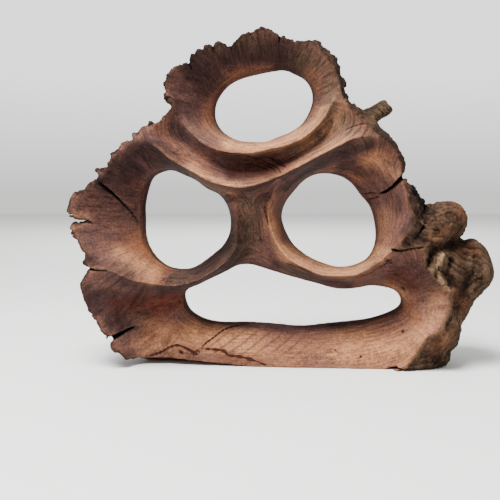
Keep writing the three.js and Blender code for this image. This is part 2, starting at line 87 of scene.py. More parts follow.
crownEdge = [
    (-76, 182), (-79.5, 187), (-80.5, 194), (-78, 201.5), (-73, 207), (-67.5, 210), (-63.3, 212.5),
    (-61.5, 216.5), (-56, 220.5), (-50, 223), (-47, 222), (-43, 224), (-38, 224.3), (-35, 223.5),
    (-30, 229), (-23, 232.3), (-18, 234), (-12, 234.2), (-6, 232.2), (2, 228.8), (10, 226.4), (18, 226.7),
    (24.5, 226.5), (29.5, 222), (38, 213.7), (41.5, 205.7), (44.3, 196.5), (47, 186.5), (52, 182)]
rightEdge = [
    (58, 178), (66, 171), (73, 164), (79, 157), (84, 149), (86.5, 141), (86, 135), (89, 131), (93, 127.5),
    (95.5, 122.5), (99.5, 118), (102.5, 113), (106, 113), (111, 115), (118, 116), (123, 115), (127, 112),
    (129, 107), (129, 101), (128.5, 96), (128.5, 91), (131.5, 88), (137, 89), (142, 85.5), (147, 78),
    (150, 67), (148, 59), (141.5, 52), (136, 43.5), (132, 34), (129, 27), (126, 19), (122, 9), (118.5, 1)]
underside = [
    (110, -6), (100, -8), (60, -9), (0, -9), (-60, -8), (-92, -5), (-103, 4)]
carvedRim = [
    (-103, -14, 6), (-113, -22, 14), (-125, -24, 33), (-138, -26, 58), (-135, -27, 79), (-146, -28, 110),
    (-141, -27, 121), (-123, -26, 132), (-113, -26, 148), (-97, -26, 159), (-78, -26, 178), (-80, -25, 194),
    (-73, -24, 208), (-56, -23, 220), (-38, -22, 224), (-15, -22, 234), (2, -22, 228), (21, -24, 221),
    (27, -26, 214), (32, -27, 206), (36.5, -27, 197), (39, -28, 188), (45, -30, 177), (54, -31, 170),
    (64, -29, 163), (71, -27, 158), (77, -25, 152), (81, -24, 145), (83, -25, 137), (86, -27, 124),
    (86, -29, 114), (86, -30, 103), (81, -31, 95), (78, -31, 89), (80, -31, 85), (88, -32, 85.5),
    (94, -32, 82), (98, -32, 77), (100, -32, 71), (101.5, -32, 66), (106, -32, 60), (112, -31, 55),
    (113, -30, 50), (112, -30, 44), (110, -30, 38), (105.5, -29, 30), (98, -28, 25), (93, -28, 18),
    (88, -27, 11), (82, -26, 4), (70, -25, 0), (48, -24, -1), (13, -22, -1), (-22, -18, 0), (-57, -15, 1),
    (-93, -12, 2)]
ridges = {
    "underTopHole": [
        (-71, -20, 175), (-62, -24, 164), (-55, -28, 157), (-45, -31, 152), (-34, -33, 149),
        (-22, -34, 149), (-8, -34, 152), (5, -34, 155), (15, -33, 160), (24, -31, 168), (30, -29, 176),
        (34, -28, 184), (39, -26, 191)],
    "acrossMiddle": [
        (-89, -30, 156), (-82, -32, 151), (-74, -34, 144), (-61, -37, 137), (-48, -38, 130),
        (-36, -39, 127), (-26, -39, 126), (-14, -38, 129), (-2, -38, 133.5), (11, -37, 140),
        (25, -37, 147.5), (38, -36, 154), (46, -34, 158), (56, -32, 160), (66, -29, 159)],
    "postHead": [
        (-38, -27, 120), (-32, -25, 120.5), (-24, -24, 121.5), (-14, -25, 123.5), (-7, -27, 127)],
    "roundLeftHole": [
        (-130, -30, 71), (-121, -31, 71), (-112, -33, 68), (-103, -34, 64), (-93, -34, 62), (-83, -33, 60),
        (-72, -32, 59), (-61, -30, 61), (-52, -28, 65), (-42, -26, 72), (-35, -24, 79), (-31, -22, 88),
        (-31, -22, 100), (-32, -22, 111), (-35, -24, 119)],
    "roundRightHole": [
        (-3, -30, 130), (-7, -25, 120), (-9, -23, 109), (-7, -24, 97), (-2, -26, 86), (6, -28, 77),
        (17, -30, 71), (27, -31, 67), (39, -32, 66), (50, -32, 67), (60, -32, 72), (69, -32, 79),
        (76, -32, 86)],
}

# What shapes the wood, in millimetres; values at two ends are followed by where the ends are
logShape = {
    "cell": 0.88,              # grid that the skin is drawn on
    "low": (-162, -50, -12), "high": (162, 46, 246),
    "skin": 0.6,               # how far the outline stands outside its points
    "widest": ((-22, -8), (-110, 10)),       # y where the bark is widest, along x
    "back": ((37, 25), (20, 200)),           # y of the back, along z
    "uncutFront": ((-44, -34), (60, 100)),   # y of the bark before the front is carved, along x
    "barkRound": 30, "barkSteepness": 0.8,
    "meet": 6,                 # how softly burl and branch grow out of the bark
    "holeDepth": 3,            # y of the hole edges
    "flareStart": 2.5, "flareDepth": 36, "flareWidth": 9, "flareMeet": 2, "holeMeet": 1,
    "dishPull": 0.022,
    "dishRounds": ((8, 500), (4, 250), (2, 250), (1, 250)),      # cells in a step, rounds at it
    "crestRounding": 1,
    "fallPastRim": 2.5,        # how steeply the carving falls away outside its rim,
    "fallRightOf": 20, "fallBelow": 28,      # at the burl and the foot
    "carveSteepest": 4, "carveMeet": 1.2,
    "footLift": 5, "liftLeftOf": (-20, -80), "liftBefore": (4, -8),
}
# Strokes are [x, z] points, reach and strength; here the strength draws the carved skin back
hollows = [
    ([(-74, 162), (-62, 153), (-50, 146), (-34, 142), (-18, 141.5), (0, 145), (14, 151), (26, 160),
    (35, 170), (40, 181)], 8, 0.2),
    ([(-46, 149), (-34, 145), (-21, 144.5), (-7, 147), (6, 150), (17, 155.5), (28, 164)], 2.4, 0.65),
    ([(66, 146), (73, 142)], 12, 0.1), ([(-22, 112), (-20, 95), (-22, 80)], 8, 0.12),
    ([(-100, 30), (-85, 24)], 12, 0.03), ([(-60, 15), (0, 12), (60, 13), (85, 22)], 12, -0.075)]
# The burl's lobes: centre and half widths
lobes = [
    ((113, -8, 102), (15.6, 27, 13.4)), ((130, -4, 69), (19, 32, 19)), ((112, -6, 25), (14.5, 27, 22))]
deadBranch = {
    "from": (50, -10, 166), "to": (74, -11, 181.5), "thick": 8.8, "tip": 4.8, "cutAt": (74.5, -11, 183),
    "cutFacing": (0.6, 0, 0.8)}
# Folds of the bark, with how far they rise
barkFolds = [
    ([(127, 89), (120, 88), (114, 87), (105, 83), (100, 76)], 4, -4),
    ([(134, 77), (130, 68), (126, 58), (122, 44)], 4, -3),
    ([(101, 112), (97, 103), (93, 94), (86, 88)], 4, -3), ([(107, 81), (104, 74), (100, 69)], 1.8, 1.5),
    ([(109, 81), (105.5, 72), (107.5, 64), (112, 57), (114, 55)], 1.7, 3),
    ([(104, 80), (101, 74), (98, 71)], 1.8, -3), ([(115, 76), (112, 67), (117, 59)], 2.6, -3),
    ([(106, 72), (105, 66)], 1.4, -3), ([(140, 76), (139, 65), (133, 52)], 5, 2.5),
    ([(104, 16), (113, 24), (122, 34)], 5, 2.5)]
# Torn edges, [x, z, reach, depth]: where the wood broke, its edge is ragged
tornEdges = [
    (-86, 172, 8, 0.9), (-95, 165, 8, 1), (-104, 158, 8, 1.1), (-113, 151, 8, 1.1), (-122, 142, 8, 1.1),
    (-128, 133, 7, 0.9), (-138, 124, 8, 0.7), (-145, 112, 8, 0.4), (-142, 92, 8, 0.4), (-137, 72, 8, 0.7),
    (-132, 40, 12, 0.4), (-122, 20, 8, 0.6), (-78, 186, 8, 0.5), (-66, 211, 10, 0.35), (-14, 233, 14, 0.2),
    (22, 226, 12, 0.35), (40, 208, 10, 0.6), (46, 190, 10, 0.6), (88, 130, 6, 0.7), (98, 121, 6, 1.7),
    (102, 114, 5, 1.7)]
# Open cracks, [x, z], with half widths at both ends, and how deep they go behind the front
cracks = [
    ([(-128, 133), (-117, 121.5), (-109, 112), (-102, 102)], (0.95, 0.1), 9),
    ([(-137, 103.3), (-133, 102.8), (-129, 101)], (0.8, 0.05), 5),
    ([(-134, 71), (-127, 70), (-118, 70)], (1, 0.05), 8),
    ([(-122, 19.5), (-114, 23), (-108, 26), (-103, 28)], (1.9, 0.4), 7),
    ([(-47.5, 225), (-46, 218)], (0.7, 0.1), 9), ([(-35.5, 225), (-34, 219)], (0.7, 0.1), 9),
    ([(-64, 212), (-61, 206)], (0.8, 0.1), 8), ([(-22, 233), (-21, 228)], (0.8, 0.1), 8),
    ([(-1, 229), (-2, 225)], (0.7, 0.1), 8), ([(-80, 186), (-75, 187)], (0.8, 0.1), 8),
    ([(88, 137), (83, 133), (78, 127), (73, 123), (69, 122)], (1.9, 0.15), 12),
    ([(95, 86), (88, 84.8), (80, 83.2), (75, 84)], (0.3, 0.6), 6),
    ([(97, 99), (93, 95), (88, 91)], (1, 0.1), 8), ([(74, 0), (80, 1.5), (86, 0)], (0.9, 0.3), 5)]
# Pits in the bark, [x, z, reach, depth]
barkPits = [
    (104, 96, 3, 1.5), (97, 91, 4, 3), (104, 84, 5, 4), (118, 86, 5, 4), (135, 63, 3, 2), (126, 79, 4, 3),
    (118, 12, 5, 3), (106, 10, 4, 2), (128, 30, 4, 2)]
# Relief of the bark and the torn edges: spacing along x, y and z, and height
barkRelief = {
    "slowWave": 1.1, "ridge": 0.7,
    "drawnIn": 0.9, "plates": (((8, 8, 11), 0.7), ((3, 3, 4), 0.6)),
    "teeth": (((1.8, 7, 1.8), 3.2), ((3.8, 12, 3.8), 2.6)), "toothLimits": (-1.2, 4),
    "fissures": ((4.5, 16, 4.5), 2.4), "fissureWidth": 0.14,
    "fissuredLeftOf": (60, 40), "fissuredAbove": (60, 80),
    "tornBand": (-5, -1),      # how far inside the outline the tearing starts, and where it is full
    "frontHalf": (0, -12),     # folds and pits come in over this y
    "carved": ((5, 5, 5), 0.18),
}


def mix(a, b, t):
    return a + (b - a) * t


def clamp01(t):
    return np.clip(t, 0, 1)


def rise(value, low, high):     # 0 at low, 1 at high, also where high is the smaller
    return clamp01((value - low) / (high - low))


def smoothMax(a, b, k):
    h = np.maximum(k - np.abs(a - b), 0) / k
    return np.maximum(a, b) + h * h * (k / 4)


def smoothMin(a, b, k):
    return -smoothMax(-a, -b, k)


def smoothCurve(points, closed=False, step=0.5):
    p = np.array([(q[0], q[1] if len(q) > 2 else 0, q[-1]) for q in points], float)
    ends = (p[-1:], p[:2]) if closed else (2 * p[:1] - p[1:2], 2 * p[-1:] - p[-2:-1])
    ring = np.concatenate([ends[0], p, ends[1]])
    spans = len(ring) - 3
    a, b, c, d = (ring[k:k + spans, None, :] for k in range(4))
    steps = max(2, int(np.linalg.norm(c - b, axis=2).sum() / step / spans) + 1)
    t = (np.arange(steps) / steps)[None, :, None]
    bend, twist = 2 * a - 5 * b + 4 * c - d, 3 * b - a - 3 * c + d
    curve = (0.5 * (2 * b + (c - a) * t + bend * t ** 2 + twist * t ** 3)).reshape(-1, 3)
    return curve if closed else np.concatenate([curve, p[-1:]])


# The grid: counts are multiples of eight plus one, so that it can be halved three times
cell = logShape["cell"]
counts = [8 * math.ceil((h - l) / cell / 8) + 1 for l, h in zip(logShape["low"], logShape["high"])]
gridX, gridY, gridZ = (np.float32(l) + np.float32(cell) * np.arange(n, dtype=np.float32)
                       for l, n in zip(logShape["low"], counts))
planX, planZ = np.meshgrid(gridX, gridZ)


def distanceTo(curve):
    best = np.full(planX.shape, 1e9, np.float32)
    for x, z in curve[:, (0, 2)].astype(np.float32):
        np.minimum(best, (planX - x) ** 2 + (planZ - z) ** 2, out=best)
    return np.sqrt(best)


def signedDistance(curve):      # negative inside the closed curve
    x, z = curve[:, 0], curve[:, 2]
    xNext, zNext = np.roll(x, -1), np.roll(z, -1)
    inside = np.zeros(planX.shape, bool)
    for row, height in enumerate(gridZ):
        hit = (z > height) != (zNext > height)
        slope = (xNext[hit] - x[hit]) / (zNext[hit] - z[hit])
        inside[row] = np.searchsorted(np.sort(x[hit] + (height - z[hit]) * slope), gridX) % 2 == 1
    return np.where(inside, -1, 1) * distanceTo(curve)


def strokeMap(strokes, base=0.0):
    total = np.full(planX.shape, base, np.float32)
    for path, reach, strength in strokes:
        total += strength * np.exp(-(distanceTo(smoothCurve(path, step=2)) / reach) ** 2)
    return total


def spotMap(spots):
    return sum(depth * np.exp(-((planX - x) ** 2 + (planZ - z) ** 2) / reach ** 2)
               for x, z, reach, depth in spots)[:, :, None]


def crackMap():
    # How far inside a crack each plan node is, and how deep the crack goes there
    inside = np.full(planX.shape, -9, np.float32)
    deep = np.zeros(planX.shape, np.float32)
    for path, halves, crackDepth in cracks:
        line = smoothCurve(path, step=0.6)
        for (x, _, z), half in zip(line, np.linspace(*halves, len(line))):
            depth = half - np.hypot(planX - x, planZ - z)
            deep = np.where(depth > inside, crackDepth, deep)
            inside = np.maximum(inside, depth)
    return inside, deep


dice = np.random.default_rng(7)


def swell(spacing, height=1.0):
    # Smooth random field over the grid, about -1 to 1 times height, with its own spacing along x, y and z
    weights = []
    for axis, gap in zip((gridX, gridY, gridZ), spacing):
        at = (axis - axis[0]) / gap
        knots = int(at[-1]) + 4
        t = np.abs(at[:, None] + 1 - np.arange(knots)[None, :])
        near, far = 2 / 3 - t ** 2 + t ** 3 / 2, np.maximum(2 - t, 0) ** 3 / 6
        weights.append(np.where(t < 1, near, far).astype(np.float32))
    lattice = dice.standard_normal([w.shape[1] for w in weights]).astype(np.float32)
    field = np.tensordot(weights[0], lattice, (1, 0))
    field = np.tensordot(field, weights[1], (1, 1))                       # x, z', y
    return height * (np.tensordot(weights[2], field, (1, 1)) * 1.3)       # z, x, y


def meanRound(a):
    out = a.copy()
    out[1:-1, 1:-1] = (a[:-2, 1:-1] + a[2:, 1:-1] + a[1:-1, :-2] + a[1:-1, 2:]) / 4
    return out


def carvedFront(holeMaps):
    # A skin stretched over hole edges, ridges and rim, and drawn back between them
    pins = np.concatenate([smoothCurve(carvedRim, True)] + [smoothCurve(r) for r in ridges.values()])
    pull = strokeMap(hollows, logShape["dishPull"])
    depth = None
    for skip, rounds in logShape["dishRounds"]:
        step = cell * skip
        shape = planX[::skip, ::skip].shape
        where = tuple(np.rint((pins[:, k] - axis[0]) / step).astype(int)
                      for k, axis in ((2, gridZ), (0, gridX)))
        total, hits = np.zeros(shape), np.zeros(shape)
        np.add.at(total, where, pins[:, 1])
        np.add.at(hits, where, 1)
        fixed = hits > 0
        value = total / np.maximum(hits, 1)
        for hole in holeMaps:
            inHole = hole[::skip, ::skip] <= 0
            value = np.where(inHole, logShape["holeDepth"], value)
            fixed |= inHole
        if depth is None:
            depth = np.full(shape, -25.0)      # anywhere near the front will do
        else:
            finer = np.empty(shape)
            finer[::2, ::2] = depth
            finer[1::2, ::2] = (depth[1:] + depth[:-1]) / 2
            finer[:, 1::2] = (finer[:, :-1:2] + finer[:, 2::2]) / 2
            depth = finer
        draw = pull[::skip, ::skip] * step ** 2 / 4
        draw[[0, -1], :] = 0
        draw[:, [0, -1]] = 0
        for _ in range(rounds):
            depth = np.where(fixed, value, meanRound(depth) + draw)
    for _ in range(logShape["crestRounding"]):
        depth = (depth + meanRound(depth)) / 2
    return depth.astype(np.float32)


def ellipsoid(at, centre, radii):
    return (np.sqrt(sum(((v - c) / r) ** 2 for v, c, r in zip(at, centre, radii))) - 1) * min(radii)


def taperedRod(at, rod):
    start, end = np.array(rod["from"], np.float32), np.array(rod["to"], np.float32)
    run = end - start
    off = [v - s for v, s in zip(at, start)]
    t = clamp01(sum(o * r for o, r in zip(off, run)) / (run @ run))
    return np.sqrt(sum((o - t * r) ** 2 for o, r in zip(off, run))) - mix(rod["thick"], rod["tip"], t)


def shapeWood():
    # The field of the whole log, negative inside, and the field of its uncut bark
    outline = signedDistance(smoothCurve(leftEdge + crownEdge + rightEdge + underside, True))
    outline -= logShape["skin"]
    rim = signedDistance(smoothCurve(carvedRim, True))
    holeMaps = [signedDistance(smoothCurve(hole, True)) + logShape["skin"] for hole in holes]
    front = carvedFront(holeMaps)
    print("carved front drawn")
    widest, back, uncut = (mix(*ends, rise(plan, *over)) for (ends, over), plan in (
        (logShape["widest"], planX), (logShape["back"], planZ), (logShape["uncutFront"], planX)))
    bulge = np.sqrt(1 - (1 - rise(outline, 0, -logShape["barkRound"])) ** 2)
    backLine, frontLine = (mix(widest, line, bulge)[:, :, None] for line in (back, uncut))
    x, y, z = at = planX[:, :, None], gridY[None, None, :], planZ[:, :, None]
    bark = np.maximum(y - backLine, frontLine - y) * logShape["barkSteepness"]
    bark = np.maximum(bark, outline[:, :, None])
    for centre, radii in lobes:
        bark = smoothMin(bark, ellipsoid(at, centre, radii), logShape["meet"])
    past = sum((v - c) * f for v, c, f in zip(at, deadBranch["cutAt"], deadBranch["cutFacing"]))
    bark = smoothMin(bark, np.maximum(taperedRod(at, deadBranch), past), logShape["meet"])
    # Slow waves about 60 mm long and low ridges about 25 mm apart
    slow = np.sin(x / 11 + 1.7 * np.sin(z / 17)) * np.sin(y / 9 + z / 14 + 2)
    ridge = np.sin((x + y) / 4.3 + 1.3 * np.sin(z / 9)) * np.sin(z / 7.5 + x / 15)
    frontHalf = rise(y, *barkRelief["frontHalf"])
    bark = (bark + barkRelief["slowWave"] * slow + barkRelief["ridge"] * ridge
            - strokeMap(barkFolds)[:, :, None] * frontHalf)
    # Broad plates, crumbs and pits; the bark's fibres are raised on the skin
    bark += sum((swell(*plate) for plate in barkRelief["plates"]), barkRelief["drawnIn"])
    bark += spotMap(barkPits) * frontHalf
    teeth = np.clip(sum(swell(*tooth) for tooth in barkRelief["teeth"]), *barkRelief["toothLimits"])
    gap, depth = barkRelief["fissures"]
    fissures = depth * np.exp(-(swell(gap) / barkRelief["fissureWidth"]) ** 2)
    fissured = rise(planX, *barkRelief["fissuredLeftOf"]) * rise(planZ, *barkRelief["fissuredAbove"])
    ragged = spotMap(tornEdges) * teeth + fissured[:, :, None] * fissures
    bark += ragged * rise(outline, *barkRelief["tornBand"])[:, :, None]
    slopeZ, slopeX = np.gradient(front, cell)
    steepness = np.minimum(np.sqrt(1 + slopeX ** 2 + slopeZ ** 2), logShape["carveSteepest"])
    falling = (planX > logShape["fallRightOf"]) | (planZ < logShape["fallBelow"])
    ahead = front - logShape["fallPastRim"] * np.maximum(rim, 0) * falling
    carve = (ahead[:, :, None] - y) / steepness[:, :, None]
    carve += swell(*barkRelief["carved"])
    wood = smoothMax(bark, carve, logShape["carveMeet"])
    print("front and bark joined")
    for hole in holeMaps:
        fade = np.exp(-np.maximum(hole, 0) / logShape["flareWidth"])
        mouth = logShape["holeDepth"] + logShape["flareStart"] + logShape["flareDepth"] * (1 - fade)
        slope = np.sqrt(1 + (logShape["flareDepth"] / logShape["flareWidth"] * fade) ** 2)
        wood = smoothMax(wood, (y - mouth[:, :, None]) / slope[:, :, None], logShape["flareMeet"])
        wood = smoothMax(wood, -hole[:, :, None], logShape["holeMeet"])
    inCrack, crackDeep = crackMap()
    wood = np.maximum(wood, np.minimum(inCrack[:, :, None], (front + crackDeep)[:, :, None] - y))
    lift = logShape["footLift"] * rise(x, *logShape["liftLeftOf"]) * rise(y, *logShape["liftBefore"])
    wood = np.maximum(wood, np.maximum(lift - z, -z))
    return wood.astype(np.float32), bark.astype(np.float32), outline, holeMaps, inCrack


def skinOf(field):
    # Surface nets: one point in each cell that the surface crosses, one quad for each crossed edge
    inside = field < 0
    corners = [(a, b, c) for a in (0, 1) for b in (0, 1) for c in (0, 1)]
    nz, nx, ny = (n - 1 for n in field.shape)
    count = sum(inside[a:a + nz, b:b + nx, c:c + ny].astype(np.int8) for a, b, c in corners)
    cells = np.argwhere((count > 0) & (count < 8))
    index = np.full((nz, nx, ny), -1, np.int32)
    index[tuple(cells.T)] = np.arange(len(cells))
    value = {c: field[tuple((cells + c).T)] for c in corners}
    total, hits = np.zeros((len(cells), 3)), np.zeros(len(cells))
    quads = []
    for axis in range(3):
        for a in corners:
            if not a[axis]:
                va, vb = value[a], value[tuple(1 if k == axis else a[k] for k in range(3))]
                cross = (va < 0) != (vb < 0)
                point = np.array(a, float) + np.zeros((len(cells), 3))
                point[:, axis] += np.where(cross, va / np.where(cross, va - vb, 1), 0)
                total += point * cross[:, None]
                hits += cross
        others = [k for k in range(3) if k != axis]
        first, second = (inside[tuple(span if k == axis else slice(1, -1) for k in range(3))]
                         for span in (slice(0, -1), slice(1, None)))
        edges = np.argwhere(first != second)
        out = first[tuple(edges.T)]
        edges[:, others] += 1
        ring = []
        for corner in ((0, 0), (1, 0), (1, 1), (0, 1)):
            spot = edges.copy()
            spot[:, others] -= corner
            ring.append(index[tuple(spot.T)])
        ring = np.stack(ring, 1)
        turn = out if axis != 1 else ~out
        quads.append(np.where(turn[:, None], ring, ring[:, ::-1]))
    at = (cells + total / hits[:, None])[:, (1, 2, 0)]
    return np.array(logShape["low"]) + cell * at, np.concatenate(quads)


def oneBody(points, quads):
    # Crumbs that hang free of the log are left out
    label, before = np.arange(len(points)), None
    while not np.array_equal(label, before):
        before = label.copy()
        least = label[quads].min(1)
        for k in range(4):
            np.minimum.at(label, quads[:, k], least)
        label = label[label]
    kept = quads[label[quads[:, 0]] == np.bincount(label).argmax()]
    used, renumbered = np.unique(kept, return_inverse=True)
    return points[used], renumbered.reshape(-1, 4)


def averaged(values, edges):
    # Mean of the neighbours' values at each point
    count = len(values)
    out = np.zeros(values.shape)
    for k in range(values.shape[1]):
        out[:, k] = (np.bincount(edges[:, 0], values[edges[:, 1], k], count)
                     + np.bincount(edges[:, 1], values[edges[:, 0], k], count))
    return out / np.maximum(np.bincount(edges.ravel(), minlength=count), 1)[:, None]


def normalsOf(points, quads):
    a, b, c, d = (points[quads[:, k]] for k in range(4))
    facing = np.cross(c - a, d - b)
    total = np.zeros_like(points)
    for k in range(4):
        for axis in range(3):
            total[:, axis] += np.bincount(quads[:, k], facing[:, axis], len(points))
    return total / np.maximum(np.linalg.norm(total, axis=1), 1e-12)[:, None]


wood, bark, outline, holeMaps, inCrack = shapeWood()
roughPoints, quads = oneBody(*skinOf(wood))
print("skin:", len(roughPoints), "points,", len(quads), "quads")


# Fine lines, [x, z], with their half width: dried splits on the bar, growth rings in the trough
hairlines = [
    ([(-18, 27.5), (-30, 26.5), (-40, 24), (-48, 19), (-54, 15), (-57, 11)], 0.6),
    ([(-57, 12), (-48, 11.5), (-40, 10.4), (-37, 7.7), (-28, 6.6), (-19, 4.5), (-11, 1.7)], 1.2),
    ([(-57, 11), (-59.5, 8), (-65, 11), (-73, 13.7), (-80, 12), (-85, 9), (-93, 6.5), (-99, 6)], 0.9),
    ([(-57, 12), (-62, 9), (-61, 6)], 0.7), ([(-71.6, 9.8), (-70.2, 8.6)], 1.5),
    ([(-38, 144.5), (-28, 147), (-19, 146), (-11, 144), (-4, 140.5), (-1.4, 136.5), (-2.8, 133)], 0.32),
    ([(-22, 144.5), (-12, 142.5), (-6, 139), (-3.4, 135)], 0.25),
    ([(-18, 147.2), (-8, 146), (-1.4, 142.5), (1.9, 139)], 0.28),
    ([(-15, 148), (-2.4, 145.2), (1.3, 141.2), (2.6, 137.8)], 0.2),
    ([(-32, 143), (-19, 142), (-12, 140), (-8, 136.5)], 0.2), ([(-44, 150), (-34, 148.5), (-26, 149)], 0.4),
    ([(70, 122), (64, 122.5), (60, 121)], 0.45), ([(72, 121), (66, 118.5), (62, 118)], 0.4),
    ([(-12, 116), (-11, 108), (-9, 100)], 0.55),
    ([(-104, 154), (-97, 148.5), (-92, 141), (-91, 137)], 0.15),
    ([(-99, 157), (-92, 150), (-89, 145)], 0.15), ([(40, 164), (52, 168), (62, 168)], 0.3),
    ([(-125, 100), (-119, 97)], 0.3), ([(-52, 64), (-60, 61), (-70, 59), (-84, 60)], 0.4),
    ([(2, 74), (14, 70), (26, 65)], 0.5), ([(48, 63), (60, 66), (70, 72), (80, 81)], 0.45),
    ([(72, 76), (73.5, 77)], 1), ([(75, 74.5), (77, 74)], 0.9), ([(80, 66), (82, 64.5)], 1),
    ([(87, 55), (88.5, 53.5)], 1), ([(55, 8), (57, 8.4)], 0.8), ([(85, 25), (87, 26)], 0.8),
    ([(38, 12), (40, 11.5)], 0.7)]
# How much painted shadow darkens the wood just past each crest, and how pale the crest itself is, partly
# rubbed wood and partly a painted highlight
crestTones = {
    "underTopHole": (0.45, 0), "acrossMiddle": (0.9, 0.25), "roundLeftHole": (0.65, 0.05),
    "roundRightHole": (0.65, 0.4)}
